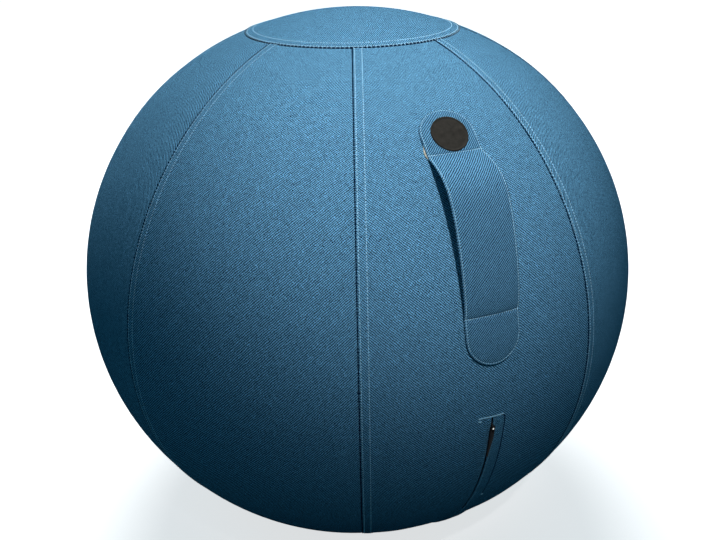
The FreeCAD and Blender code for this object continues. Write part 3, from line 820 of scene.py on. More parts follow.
def tube_faces(rings: int, count: int, start: int = 0) -> list[tuple[int, ...]]:
    """Faces of a tube of rings with both its ends closed.

    Args:
        rings: Rings of points.
        count: Points in a ring.
        start: Number of the first point.

    Returns:
        Corner numbers of each face.
    """
    last = (rings - 1) * count
    faces = grid_faces(rings, count, ring=True)
    faces += [tuple(range(count))[::-1], tuple(range(last, last + count))]
    return [tuple(start + n for n in face) for face in faces]


def flat_piece(
    name: str, points: np.ndarray, faces: Sequence = (), edges: Sequence = (), way: float = 1.0
) -> bpy.types.Object:
    """Make a flat pattern a piece, with its pattern kept as the map of its threads.

    Args:
        name: Name of the piece.
        points: Points in millimetres: across, up and height over the cover.
        faces: Corner numbers of each face.
        edges: Point numbers of each edge, for a path.
        way: -1 where the cloth is cut with its twill leaning the other way.

    Returns:
        The new object.
    """
    mesh = bpy.data.meshes.new(name)
    mesh.from_pydata((np.asarray(points, float) * MM).tolist(), list(edges), list(faces))
    if faces:
        lay = mesh.uv_layers.new(name=LAY_MAP)
        corners = np.zeros(len(mesh.loops), np.int32)
        mesh.loops.foreach_get("vertex_index", corners)
        plan = np.asarray(points, float)[corners, :2] * (way, 1.0)
        lay.data.foreach_set("uv", plan.astype(np.float32).ravel())
    return add_object(name, mesh)


def path_piece(name: str, paths: Sequence[np.ndarray], closed: bool) -> bpy.types.Object:
    """Make flat lines a piece of edges, for a row of repeated parts.

    Args:
        name: Name of the piece.
        paths: Points of each line.
        closed: Whether each line's end joins its start.

    Returns:
        The new object.
    """
    edges, start = [], 0
    for path in paths:
        count = len(path)
        edges += [(start + n, start + (n + 1) % count) for n in range(count if closed else count - 1)]
        start += count
    return flat_piece(name, np.concatenate(list(paths)), edges=edges)


def mend(piece: bpy.types.Object, within: float = 0.0, outwards: bool = False) -> None:
    """Clean a piece's mesh.

    Args:
        piece: The piece.
        within: Distance in millimetres up to which its points are merged.
        outwards: Whether a closed piece's faces are turned outwards.
    """
    shell = bmesh.new()
    shell.from_mesh(piece.data)
    if within:
        bmesh.ops.remove_doubles(shell, verts=shell.verts, dist=within * MM)
    if outwards:
        bmesh.ops.recalc_face_normals(shell, faces=shell.faces)
    shell.to_mesh(piece.data)
    shell.free()


def shape(piece: bpy.types.Object, tree: GeometryGroup, material: str, **values: float) -> None:
    """Add a Geometry Nodes modifier and set its inputs by their identifiers.

    Args:
        piece: The piece.
        tree: The modifier's tree.
        material: Name of the finish.
        values: Inputs by name, with _ for a space.
    """
    modifier = piece.modifiers.new(tree.tree.name, "NODES")
    modifier.node_group = tree.tree
    given = {name.replace("_", " "): value for name, value in values.items()}
    given["Material"] = MATERIALS[material]
    for item in tree.tree.interface.items_tree:
        if item.in_out == "INPUT" and item.name in given:
            modifier[item.identifier] = given[item.name]


def bake(piece: bpy.types.Object) -> None:
    """Turn what the modifiers make into the piece's plain mesh, and remove them.

    Args:
        piece: The piece.
    """
    bpy.context.view_layer.update()
    seen = piece.evaluated_get(bpy.context.evaluated_depsgraph_get())
    mesh = bpy.data.meshes.new_from_object(seen)
    piece.modifiers.clear()
    before = piece.data
    piece.data = mesh
    mesh.name = piece.name
    bpy.data.meshes.remove(before)
    if OUTWARD in mesh.attributes:
        mesh.attributes.remove(mesh.attributes[OUTWARD])


def settle(piece: bpy.types.Object, body: Body, slot: str, *nodes: str) -> None:
    """Say where a finished piece belongs.

    Args:
        piece: The piece.
        body: Body that it rides on.
        slot: Not used.
        nodes: CAD nodes that it stands for.
    """
    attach(piece, body.value)
    if nodes:
        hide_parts(*nodes)
    LOG.info("%s: %d faces on %s", piece.name, len(piece.data.polygons), body.value)


@dataclass
class Sewing:
    """Lays pieces on the ball and sews rows of stitches, with the usual sizes of its thread."""

    pitch: float = 3.0
    length: float = 1.5
    thread: float = 0.44
    rise: float = 0.6
    trees: dict[str, GeometryGroup] = field(init=False)

    def __post_init__(self) -> None:
        """Build the trees."""
        makers = {"side": side_tree, "crown": crown_tree, "stitch": stitch_tree, "coil": coil_tree}
        self.trees = {name: make() for name, make in makers.items()}

    def lay(self, piece: bpy.types.Object, material: str, place: float | Crown = 0.0) -> None:
        """Lay a flat piece on the ball.

        Args:
            piece: The piece.
            material: Name of its finish.
            place: Its turn in degrees round the side from the front, or the crown that it lies on.
        """
        if isinstance(place, Crown):
            centre = PROFILE.middle - place.value * PROFILE.crown_shift
            shape(piece, self.trees["crown"], material, Way=place.value, Centre_Height=centre * MM)
        else:
            shape(piece, self.trees["side"], material, Turn=math.radians(place))

    def fit(
        self, piece: bpy.types.Object, slot: str, *nodes: str, place: float | Crown = 0.0, cloth: float = 0.0
    ) -> None:
        """Lay a flat piece on the ball, make it a plain mesh and say where it belongs.

        Args:
            piece: The piece.
            slot: Its slot and finish.
            nodes: CAD nodes that it stands for.
            place: Where it lies, as for lay.
            cloth: Thickness in millimetres to give it inwards, where it has none.
        """
        self.lay(piece, slot, place)
        bake(piece)
        if cloth:
            solid = piece.modifiers.new("cloth", "SOLIDIFY")
            solid.thickness = cloth * MM
            solid.offset = -1.0
        settle(piece, Body.COVER, slot, *nodes)

    def sew(
        self,
        name: str,
        paths: Sequence[np.ndarray],
        seed: int,
        *nodes: str,
        material: str = "thread",
        place: float | Crown = 0.0,
        closed: bool = False,
        **values: float,
    ) -> None:
        """Sew stitches along flat lines on the cover.

        Args:
            name: Name of the piece.
            paths: Points of each line.
            seed: Seed of the small differences between stitches.
            nodes: CAD nodes that it stands for.
            material: Finish of the thread.
            place: Where the lines lie, as for lay.
            closed: Whether each line's end joins its start.
            values: Sizes in millimetres that differ from the usual ones, and Turn in radians.
        """
        row = path_piece(name, paths, closed)
        self.lay(row, material, place)
        usual = {"Pitch": self.pitch, "Length": self.length, "Thread_Radius": self.thread, "Rise": self.rise}
        turn = values.pop("Turn", 0.0)
        sizes = {size: value * MM for size, value in {**usual, **values}.items()}
        shape(row, self.trees["stitch"], material, Seed=seed, Turn=turn, **sizes)
        bake(row)
        settle(row, Body.COVER, "thread", *nodes)


def dip(distance: np.ndarray, place: float, width: float) -> np.ndarray:
    """Share of a rounded dip at a distance from a place, 1 in its middle."""
    return np.exp(-(((distance - place) / width) ** 2))


def smooth(value: np.ndarray, low: float, high: float) -> np.ndarray:
    """Smooth step from 0 at low to 1 at high."""
    share = np.clip((value - low) / (high - low), 0.0, 1.0)
    return share * share * (3 - 2 * share)


@dataclass(frozen=True)
class Seam:
    """Shape of the cloth beside a seam that is topstitched on one side, in millimetres."""

    depth: float = 1.9
    fold: float = 1.5
    raised: float = 0.5
    under: float = 11.0
    rows: tuple[float, ...] = (2.2, 9.2)
    row_depth: float = 0.32
    row_width: float = 0.7
    pucker: float = 0.16
    plain_pucker: float = 0.35
    near: tuple[float, ...] = (
        0.0, 0.15, 0.4, 0.8, 1.3, 1.8, 2.2, 2.6, 3.2, 4.2, 5.6,
        7.0, 8.2, 8.8, 9.2, 9.6, 10.2, 11.0, 12.4, 14.2, 17.0,
    )
    far: tuple[float, ...] = (0.0, 0.15, 0.4, 0.8, 1.3, 2.0, 3.2, 5.0, 8.0, 13.0)

    def valley(self, distance: np.ndarray) -> np.ndarray:
        """Height of the cloth where it turns down into the seam."""
        share = np.clip(1 - distance / self.fold, 0.0, 1.0)
        return -self.depth * (1 - np.sqrt(np.clip(1 - share * share, 0.0, 1.0)))

    def sewn(self, distance: np.ndarray, along: np.ndarray, seed: float) -> np.ndarray:
        """Height of the cloth on the topstitched side.

        Args:
            distance: Distances from the seam.
            along: Places along it.
            seed: Shift of its small waves.

        Returns:
            The heights.
        """
        lift = self.raised * (1 - smooth(distance, self.under - 1.5, self.under + 2.5))
        for row in self.rows:
            lift = lift - self.row_depth * dip(distance, row, self.row_width)
        wave = np.sin(along / 2.9 + 2.1 * np.sin(along / 17.0 + seed)) * np.sin(along / 41.0 + seed)
        lift = lift + self.pucker * wave * dip(distance, sum(self.rows) / 2, 5.0)
        return lift + self.valley(distance)

    def plain(self, distance: np.ndarray, along: np.ndarray, seed: float) -> np.ndarray:
        """Height of the cloth on the plain side, given as for the topstitched one."""
        wave = np.sin(along / 4.3 + 1.7 * np.sin(along / 23.0 + seed))
        return self.valley(distance) + self.plain_pucker * self.pucker * wave * dip(distance, 3.0, 4.0)


SEAM = Seam()


def spaced(
    low: float, high: float, step: float, ends: Sequence[float], marks: Sequence[float] = ()
) -> np.ndarray:
    """Distances from low to high, close together at both ends and near the marks.

    Args:
        low: First distance.
        high: Last distance.
        step: Largest distance between two of them.
        ends: Distances to keep from each end.
        marks: Further distances to keep.

    Returns:
        The distances in order.
    """
    inner_low, inner_high = low + max(ends), high - max(ends)
    inner = np.linspace(inner_low, inner_high, max(2, math.ceil((inner_high - inner_low) / step)))
    kept = [inner, low + np.asarray(ends), high - np.asarray(ends), np.asarray(marks)]
    line = np.unique(np.round(np.concatenate(kept), 4))
    least = 0.05
    return line[np.concatenate([[True], np.diff(line) > least])]


@dataclass
class SewnCover:
    """Gores, round panels and their stitching."""

    sewing: Sewing
    cap_seam: float = 118.0
    cloth: float = 1.2
    seam_gap: float = 0.06
    bulge: float = 0.7
    bulge_fade: float = 60.0
    flat_half: float = 28.0
    row_step: float = 3.2
    row_end: float = 1.5
    between: int = 7
    zip_gore: int = 1
    slot_top: float = ZIP_TOP
    slot_end: float = ZIP_TOP - ZIP_LENGTH
    slot_lines: tuple[float, ...] = (-14.0, -9.0, -6.5, -5.0, 5.0, 6.5, 9.0, 14.0)
    slot_line: int = 3
    gore_seam_depth: float = 0.15
    round_seam_pitch: float = 4.4
    round_seam_height: float = 0.15
    rung_height: float = 0.4
    round_seed: float = 3.0

    @property
    def reach(self) -> float:
        """Distance along the cover from its widest place to a round seam."""
        return PROFILE.up_to(self.cap_seam) - self.seam_gap

    def gore_lift(self, left: np.ndarray, right: np.ndarray, along: np.ndarray, number: int) -> np.ndarray:
        """Height of a gore's cloth.

        Args:
            left: Distances from its left seam.
            right: Distances from its right seam.
            along: Places along them.
            number: The gore's number.

        Returns:
            The heights.
        """
        seed = 1.7 * number
        ends = self.reach - np.abs(along)
        crowned = np.clip(np.sin(np.pi * left / (left + right)), 0.0, 1.0) ** 0.8
        pillow = self.bulge * crowned * smooth(ends, 0.0, self.bulge_fade)
        if number == self.zip_gore:
            pillow = pillow * smooth(np.abs(left - right) / 2, self.flat_half, self.bulge_fade)
        return SEAM.sewn(left, along, seed) + SEAM.plain(right, along, seed) + SEAM.valley(ends) + pillow

    def gore_row(self, along: float, number: int) -> np.ndarray:
        """One row of a gore's points, close together at its seams.

        Args:
            along: Place of the row up along the cover.
            number: The gore's number.

        Returns:
            The points from left to right.
        """
        half = float(PROFILE.half_width(np.array(along))) - self.seam_gap
        left = -half + np.asarray(SEAM.near)
        right = half - np.asarray(SEAM.far[::-1])
        core = np.array(self.slot_lines if number == self.zip_gore else [0.0])
        steps = self.between + 2
        inner_left = np.linspace(left[-1], core[0], steps)[1:-1]
        inner_right = np.linspace(core[-1], right[0], steps)[1:-1]
        across = np.concatenate([left, inner_left, core, inner_right, right])
        lift = self.gore_lift(across + half, half - across, np.full_like(across, along), number)
        return flat_line(across, along, lift)

    def make_gore(self, number: int) -> None:
        """Make one gore with its seam relief and its rows of stitches.

        Args:
            number: Its number, counted from the front.
        """
        has_zip = number == self.zip_gore
        marks = [self.slot_top, self.slot_end] if has_zip else []
        rows = spaced(-self.reach, self.reach, self.row_step, SEAM.far, marks)
        points = [self.gore_row(along, number) for along in rows]
        columns = len(points[0])
        faces = grid_faces(len(rows), columns)
        if has_zip:
            first = len(SEAM.near) + self.between + self.slot_line
            low, high = self.slot_end - 0.01, self.slot_top - 0.01
            gone = {row * (columns - 1) + first for row, along in enumerate(rows[:-1]) if low < along < high}
            faces = [face for n, face in enumerate(faces) if n not in gone]
        way = -1.0 if number % 2 else 1.0
        gore = flat_piece(f"cover_gore_{number}", np.concatenate(points), faces, way=way)
        turn = 360.0 / PROFILE.count * (number - 1)
        self.sewing.fit(gore, "cover_cloth", f"gore_panel_{number}", place=turn, cloth=self.cloth)
        width = 2 * float(PROFILE.half_width(np.array(0.0)))
        line = np.linspace(-self.reach, self.reach, 400)
        area = float(np.mean(2 * PROFILE.half_width(line)) * 2 * self.reach)
        2 * self.reach * MM
        self.sew_gore(number, turn)

    def sew_gore(self, number: int, turn: float) -> None:
        """Sew the two rows beside a gore's left seam, and dark stitches along the seam itself that stand
        partly for its thread and partly as painted shade in its groove.

        Args:
            number: The gore's number.
            turn: Its turn in degrees round the ball.
        """
        along = np.linspace(-self.reach + self.row_end, self.reach - self.row_end, 160)
        left = -PROFILE.half_width(along)
        paths = []
        for row in SEAM.rows:
            near = np.full_like(along, row)
            lift = self.gore_lift(near, 2 * np.abs(left) - near, along, number)
            paths.append(flat_line(left + row, along, lift))
        self.sewing.sew(f"gore_topstitch_{number}", paths, number, place=turn)
        seam = [flat_line(left, along, -self.gore_seam_depth)]
        sizes = {"Thread_Radius": 0.7, "Length": 2.6, "Pitch": 3.9}
        self.sewing.sew(f"gore_seam_{number}", seam, 20 + number, material="seam_thread_and_shade", place=turn, **sizes)

    def make_round_panel(self, crown: Crown, name: str, node: str) -> None:
        """Make the round top or base panel.

        Args:
            crown: Where it lies.
            name: Name of the piece.
            node: CAD node that it stands for.
        """
        rim = PROFILE.crown * math.asin(self.cap_seam / PROFILE.crown) - self.seam_gap
        inward = sorted({*SEAM.near, *np.linspace(17.0, rim - 6.0, 14)})
        turns = np.radians(np.arange(0.0, 360.0, 2.5))
        rings = [self.round_line(rim, distance, turns) for distance in reversed(inward)]
        count, centre = len(turns), len(rings) * len(turns)
        faces = [face[::-1] for face in grid_faces(len(rings), count, ring=True)]
        faces += [(centre, n, (n + 1) % count) for n in range(count)]
        if crown is Crown.BASE:
            faces = [face[::-1] for face in faces]
        panel = flat_piece(name, np.concatenate([*rings, [[0.0, 0.0, 0.0]]]), faces)
        self.sewing.fit(panel, "cover_cloth", node, place=crown, cloth=self.cloth)
        self.sew_round_panel(crown, name, rim)

    def round_line(self, rim: float, distance: float, turns: np.ndarray) -> np.ndarray:
        """Circle on a round panel at a distance in from its rim."""
        lift = SEAM.sewn(np.full_like(turns, distance), turns * (rim - distance), self.round_seed)
        return circle(rim - distance, turns, lift)

    def sew_round_panel(self, crown: Crown, name: str, rim: float) -> None:
        """Sew a round panel's two rows, dark stitches along its seam that stand partly for its thread and
        partly as painted shade in its groove, and the light threads across the top one.

        Args:
            crown: Where it lies.
            name: Name of the panel.
            rim: Radius of its rim along the cover.
        """
        turns = np.radians(np.arange(0.0, 360.0, 2.0))
        shared = {"place": crown, "closed": True}
        rows = [self.round_line(rim, row, turns) for row in SEAM.rows]
        self.sewing.sew(f"{name}_topstitch", rows, 11, **shared)
        pitch = self.round_seam_pitch
        edge = [circle(rim, turns, self.round_seam_height)]
        sizes = {"Thread_Radius": 0.95, "Length": 3.1, "Pitch": pitch}
        self.sewing.sew(f"{name}_seam", edge, 31, material="seam_thread_and_shade", **shared, **sizes)
        if crown is Crown.TOP:
            half_a_stitch = math.pi / math.floor(2 * math.pi * rim / pitch)
            ring = [circle(rim, turns + half_a_stitch, self.rung_height)]
            sizes = {"Pitch": pitch, "Length": 1.5, "Thread_Radius": 0.45, "Turn": math.pi / 2}
            self.sewing.sew(f"{name}_rungs", ring, 33, **shared, **sizes)

    def build(self) -> None:
        """Make the whole cover."""
        for number in range(1, PROFILE.count + 1):
            self.make_gore(number)
        self.make_round_panel(Crown.TOP, "cover_top", "top_cap")
        self.make_round_panel(Crown.BASE, "cover_base", "base_panel")


@dataclass
class CarryHandle:
    """Padded cloth strap on webbing, its round tabs sewn to the cover, with a plain badge.

    Each knot of the strap's bow gives a distance down from the upper cross row, the height there
    and the slope in degrees.
    """

    sewing: Sewing
    half: float = 28.0
    row: float = 238.06
    span: float = 149.0
    tab: float = 47.0
    knots: tuple[tuple[float, float, float], ...] = (
        (-4.0, 0.0, 0.0),
        (4.0, 1.75, 33.0),
        (43.0, 17.5, 0.0),
        (84.0, 12.6, -9.5),
        (126.0, 6.0, -9.5),
        (149.0, 0.0, -24.0),
    )
    highest: float = 17.5
    base: float = 0.1
    webbing: float = 1.35
    cloth_low: float = 1.45
    cloth_high: float = 3.0
    crowned: float = 0.9
    stitch_in: float = 1.6
    stitch_depth: float = 0.4
    cross_depth: float = 0.3
    middle_inset: float = 27.98
    welded: float = 0.06
    badge_half: float = 18.0

    @property
    def cross_rows(self) -> tuple[float, float]:
        """Places of the two rows of stitches across the strap."""
        return self.row, self.row - self.span

    def rise(self, along: np.ndarray) -> np.ndarray:
        """Height of the strap's inner side over the cover.

        Args:
            along: Places up along the strap.

        Returns:
            The heights.
        """
        below = self.row - np.asarray(along, float)
        lift = np.zeros_like(below)
        for (start, low, lean), (end, high, after) in zip(self.knots, self.knots[1:]):
            length = end - start
            share = np.clip((below - start) / length, 0.0, 1.0)
            first, last = math.tan(math.radians(lean)) * length, math.tan(math.radians(after)) * length
            cubic = (
                low * (2 * share**3 - 3 * share**2 + 1)
                + first * (share**3 - 2 * share**2 + share)
                + high * (3 * share**2 - 2 * share**3)
                + last * (share**3 - share**2)
            )
            lift = np.where((below >= start) & (below <= end), cubic, lift)
        return lift

    def surface(self, across: np.ndarray, along: np.ndarray, height: float) -> np.ndarray:
        """Points at a height over the strap's inner side, which is flatter than the ball where it is bowed.

        Args:
            across: Places across the strap.
            along: Places up along it.
            height: The height.

        Returns:
            The points.
        """
        level = self.rise(along)
        flatter = 0.5 * across**2 / (2 * PROFILE.equator) * level / self.highest
        return flat_line(across, along, self.base + level + flatter + height)

    def stations(self) -> np.ndarray:
        """Places of the cross sections along the strap's straight sides.

        Returns:
            The places from the top down.
        """
        top = self.row + self.tab - self.half
        low = self.row - self.span - self.tab + self.half
        fine = [row + step for row in self.cross_rows for step in (-2, -1.3, -0.6, 0, 0.6, 1.3, 2)]
        return spaced(low, top, 3.0, [0.0], fine)[::-1]

    def outline(self, inset: float, sides: np.ndarray) -> np.ndarray:
        """Outline of the strap, anticlockwise from its upper left, as points across and up.

        Args:
            inset: Distance inwards from its edge.
            sides: Places of the points on its straight sides, from the top down.

        Returns:
            The points.
        """
        reach = self.half - inset
        bend = np.radians(np.arange(7.5, 180.0, 7.5))
        left = np.stack([np.full_like(sides, -reach), sides], axis=1)
        under = np.stack([-reach * np.cos(bend), sides[-1] - reach * np.sin(bend)], axis=1)
        right = np.stack([np.full_like(sides, reach), sides[::-1]], axis=1)
        over = np.stack([reach * np.cos(bend), sides[0] + reach * np.sin(bend)], axis=1)
        return np.concatenate([left, under, right, over])

    def shell(self, name: str, rings: Sequence[tuple[float, float]], own: Change) -> bpy.types.Object:
        """Closed shell of rings of the strap's outline, from the under side's middle to the top's.

        Args:
            name: Name of the piece.
            rings: Inset and height over the strap's inner side of each ring.
            own: Change of each ring's points, given the points and the inset.

        Returns:
            The flat piece.
        """
        sides = self.stations()
        layers = []
        for inset, height in rings:
            plan = self.outline(inset, sides)
            layers.append(own(self.surface(plan[:, 0], plan[:, 1], height), inset))
        faces = grid_faces(len(layers), len(layers[0]), ring=True)
        piece = flat_piece(name, np.concatenate(layers), faces)
        mend(piece, within=self.welded)
        return piece

    def crease(self, points: np.ndarray, inset: float) -> np.ndarray:
        """Press the cross stitching into the strap's cloth, and puff it between the rows.

        Args:
            points: Points of a ring.
            inset: Its inset.

        Returns:
            The changed points.
        """
        across, along, _ = points.T
        press = sum(dip(along, row, 1.0) for row in self.cross_rows)
        inwards = np.full_like(along, inset)
        ripple = 0.12 * np.sin(along / 3.1 + across / 9.0) * dip(inwards, 2.6, 2.2)
        points[:, 2] += smooth(inwards, 0.2, 1.2) * (ripple - press)
        return points

    def peek(self, points: np.ndarray, inset: float) -> np.ndarray:
        """Let the webbing's pale edge stand out at the left of the upper tab, as on the real one.

        Args:
            points: Points of a ring.
            inset: Its inset.

        Returns:
            The changed points.
        """
        across, along, _ = points.T
        tucked_in, let_out = 1.6, 3.5
        beside = dip(along, self.row + 4.0, 9.0) * (across < -20.0)
        outside = 1.0 - smooth(np.full_like(along, inset), 0.9, 6.0)
        points[:, 0] += outside * (tucked_in - let_out * beside) * np.where(across < 0, 1.0, -1.0)
        return points

    def make_strap(self) -> None:
        """Make the padded cloth of the strap."""
        middle, low, high = self.middle_inset, self.cloth_low, self.cloth_high
        under = [(middle, low), (14.0, low), (4.0, low), (0.6, low), (0.12, low + 0.25), (0.0, low + 0.75)]
        edge = [(0.1, high - 0.4), (0.35, high - 0.12), (0.8, high + 0.02), (1.3, high - 0.06)]
        stitched = [(self.stitch_in, high - self.stitch_depth), (2.4, high)]
        rounded = ((3.4, 0.3), (5.5, 0.55), (10.0, 0.8), (18.0, 1.0), (middle, 1.0))
        upper = [(inset, high + share * self.crowned) for inset, share in rounded]
        strap = self.shell("handle_strap", [*under, *edge, *stitched, *upper], self.crease)
        self.sewing.fit(strap, "handle_cloth", "handle_cloth")

    def make_webbing(self) -> None:
        """Make the webbing under the strap."""
        middle, band = self.middle_inset, self.webbing
        rings = [(middle, 0.0), (10.0, 0.0), (0.9, 0.0), (0.5, 0.3), (0.5, 1.05)]
        rings += [(0.9, band), (10.0, band), (middle, band)]
        backing = self.shell("handle_backing", rings, self.peek)
        self.sewing.fit(backing, "webbing", "handle_webbing")

    def sew_strap(self) -> None:
        """Sew the row round the strap's edge and the two rows across it."""
        plan = self.outline(self.stitch_in, self.stations())
        edge = [self.surface(plan[:, 0], plan[:, 1], self.cloth_high - self.stitch_depth)]
        self.sewing.sew("handle_edge_stitch", edge, 41, closed=True, Pitch=2.7, Thread_Radius=0.36)
        across = np.linspace(-self.half + 1.4, self.half - 1.4, 60)
        height = self.cloth_high - self.cross_depth
        rows = [self.surface(across, np.full_like(across, row), height) for row in self.cross_rows]
        self.sewing.sew("handle_cross_stitch", rows, 42, Pitch=2.4, Length=1.6, Thread_Radius=0.38)

    def make_badge(self) -> None:
        """Make the plain round badge: a soft disc, a fine step and a rounded rim."""
        centre = self.row + self.tab - self.half
        outer, rim = self.badge_half, self.badge_half - 1.7
        base = self.base + self.cloth_high + 0.05
        least = 0.02
        side = [(least, 0.0), (outer - 0.4, 0.0), (outer, 0.35), (outer, 1.5), (outer - 0.25, 1.95)]
        edge = [(outer - 0.7, 2.15), (outer - 1.2, 2.05), (rim, 1.72), (rim - 0.5, 1.55)]
        disc = [(rim - 1.2, 1.6), (rim - 5.0, 1.75), (rim - 10.0, 1.85), (least, 1.9)]
        turns = np.radians(np.arange(0.0, 360.0, 5.0))
        rings = [circle(radius, turns, base + height, centre) for radius, height in (*side, *edge, *disc)]
        faces = grid_faces(len(rings), len(turns), ring=True)
        badge = flat_piece("badge", np.concatenate(rings), faces)
        mend(badge, within=self.welded, outwards=True)
        self.sewing.fit(badge, "badge_rubber", "handle_badge")

    def build(self) -> None:
        """Make the whole handle."""
        self.make_strap()
        self.make_webbing()
        self.sew_strap()
        self.make_badge()


@dataclass
class Zip:
    """Lapped zip: tapes, coils, flaps, bar tacks, stops, and the slider with its pull."""

    sewing: Sewing
    top: float = ZIP_TOP
    length: float = ZIP_LENGTH
    outer: tuple[float, float] = (-6.5, 13.5)
    neck_half: float = 0.95
    flap_low: float = 0.1
    corner: float = 4.0
    crease_share: float = 0.42
    tape_width: float = 11.0
    tape_lift: float = -1.75
    coil_lift: float = -2.9
    coil_place: float = 2.2
    coil_end: float = 3.4
    row_end: float = 3.0
    row_inset: float = 1.6
    row_height: float = 1.12
    left_row_lower: float = 0.35
    tack_past: float = 1.2

    @property
    def end(self) -> float:
        """Place of the zip's lower end."""
        return self.top - self.length

    def gap(self, along: np.ndarray) -> np.ndarray:
        """Half the width of the parting between the flaps.

        Args:
            along: Places up along the cover.

        Returns:
            The half widths.
        """
        below = self.top - along
        wide_by_the_pull = dip(below, 19.0, 9.0)
        wave = 0.1 * np.sin(below / 13.0) * smooth(below, 30.0, 60.0)
        return self.neck_half + wide_by_the_pull + np.abs(wave)

    def flap_ring(self, along: float, side: Side) -> list[tuple[float, float, float]]:
        """Cross section of one flap, the wide one on the right.

        Args:
            along: Its place up along the cover.
            side: The flap's side.

        Returns:
            The section's points, in the order that faces outwards.
        """
        profile = [(0.0, 0.5), (0.0, 0.85), (0.18, 1.15), (0.5, 1.3), (1.0, 1.3), (1.6, 1.02), (2.2, 1.28)]
        wide = side is Side.RIGHT
        edge = self.outer[1] if wide else -self.outer[0]
        inner = float(self.gap(np.array(along)))
        # The wide flap's corners are rounder than the narrow one's, whose outer edge lies flat.
        past = min(self.top - along, along - self.end)
        cut = self.corner - math.sqrt(max(self.corner**2 - max(self.corner - past, 0.0) ** 2, 0.0))
        outer = edge - (cut if wide else 0.4 * cut)
        lift = 0.25 * math.sin(along / 19.0 + side.value) * math.sin(along / 47.0)
        thick = 1.0 if wide else 0.1
        low = self.flap_low
        inside = [(inner + inset, low + height + lift * 0.5) for inset, height in profile]
        outside = [(outer - inset, low + height * thick) for inset, height in profile[::-1]]
        under = [(outer - 0.5, low + 0.05), (inner + 0.5, low + 0.05)]
        ring = [(side.value * x, along, z) for x, z in (*inside, *outside, *under)]
        return ring if wide else ring[::-1]

    def make_flaps(self) -> None:
        """Make the two turned edges of cloth that hide the coils."""
        rows = spaced(self.end, self.top, 3.0, [0.0, 0.25, 0.7, 1.3, 2.0, 3.0, 4.2])
        points, faces = [], []
        for side in Side:
            rings = [self.flap_ring(along, side) for along in rows]
            faces += tube_faces(len(rings), len(rings[0]), start=len(points))
            points += [point for ring in rings for point in ring]
        flaps = flat_piece("zip_flaps", np.array(points), faces)
        mend(flaps, outwards=True)
        self.sewing.fit(flaps, "cover_cloth", "zip_flap_left", "zip_flap_right")

    def sew_flaps(self) -> None:
        """Sew the rows beside the parting."""
        along = np.linspace(self.top - self.row_end, self.end + self.row_end, 120)
        across = self.gap(along) + self.row_inset
        height = self.flap_low + self.row_height
        heights = (height - self.left_row_lower, height)
        paths = [flat_line(side.value * across, along, level) for side, level in zip(Side, heights)]
        self.sewing.sew("zip_flap_stitch", paths, 51, Thread_Radius=0.2, Rise=0.3)

    def sew_crease_shadow(self) -> None:
        """Sew a row of dark stitches as painted shadow in the crease round the wide flap, and the two light
        knots.
        """
        bend = np.radians(np.linspace(90.0, 0.0, 12))
        edge, top, radius = self.outer[1] + 0.75, self.top + 0.3, self.corner + 0.5
        low = self.top - self.length * self.crease_share
        down = np.linspace(top - radius - 1.0, low, 90)
        across = np.concatenate([edge - radius + radius * np.cos(bend), 0 * down + edge])
        along = np.concatenate([top - radius + radius * np.sin(bend), down])
        sizes = {"Thread_Radius": 0.66, "Pitch": 1.9, "Length": 2.2, "Rise": 0.2}
        # Painted shadow: a close row of dark stitches along the wide flap's outer edge.
        path = [flat_line(across, along, 0.45)]
        self.sewing.sew("zip_flap_shadow_line", path, 52, material="seam_thread_and_shade", **sizes)
        knot = np.array([(-1.1, 0.4, 0.0), (0.0, 0.0, 0.3), (1.1, -0.3, 0.0)])
        paths = [knot + spot for spot in ((edge, low - 1.5, 0.8), (-13.0, self.top - 2.2, 0.5))]
        self.sewing.sew("zip_knots", paths, 53, Thread_Radius=0.42, Pitch=0.7, Length=1.4, Turn=1.1)

    def make_tapes(self) -> None:
        """Make the two woven tapes with their thicker edges."""
        rows = spaced(self.end, self.top, 4.0, [0.0])
        upper = [(0.8, -0.2), (0.8, 0.0), (1.5, 0.05), (10.6, 0.05), (11.2, 0.18), (11.8, 0.05)]
        section = [*upper, (11.8, -0.3), (11.0, -0.42), (1.2, -0.42)]
        for side in Side:
            name = side.name.lower()
            rings = [[(side.value * x, along, self.tape_lift + z) for x, z in section] for along in rows]
            points = np.array(rings).reshape(-1, 3)
            tape = flat_piece(f"zip_tape_{name}_band", points, tube_faces(len(rings), len(section)))
            mend(tape, outwards=True)
            self.sewing.fit(tape, "zip_tape", f"zip_tape_{name}")

    def make_coils(self) -> None:
        """Make the coils' loops."""
        along = np.linspace(self.top - self.coil_end, self.end + self.coil_end, 100)
        for side in Side:
            name = side.name.lower()
            line = flat_line(side.value * self.coil_place, along, self.coil_lift)
            coil = path_piece(f"zip_coil_{name}_loops", [line], closed=False)
            self.sewing.lay(coil, "zip_coil")
            shape(coil, self.sewing.trees["coil"], "zip_coil")
            bake(coil)
            settle(coil, Body.COVER, "zip_coil", f"zip_coil_{name}")

    def sew_tacks(self) -> None:
        """Sew the bar tacks across both ends of the zip."""
        across = np.linspace(-14.3, 11.8, 40)
        lift = 0.35 + 0.9 * smooth(across, -12.0, 0.0)
        sizes = {"Pitch": 0.42, "Length": 1.3, "Thread_Radius": 0.24, "Turn": 1.25}
        for name, along in (("upper", self.top + self.tack_past), ("lower", self.end - self.tack_past)):
            path = [flat_line(across, along, lift)]
            self.sewing.sew(f"zip_tack_{name}", path, 61, f"zip_{name}_tack", **sizes)

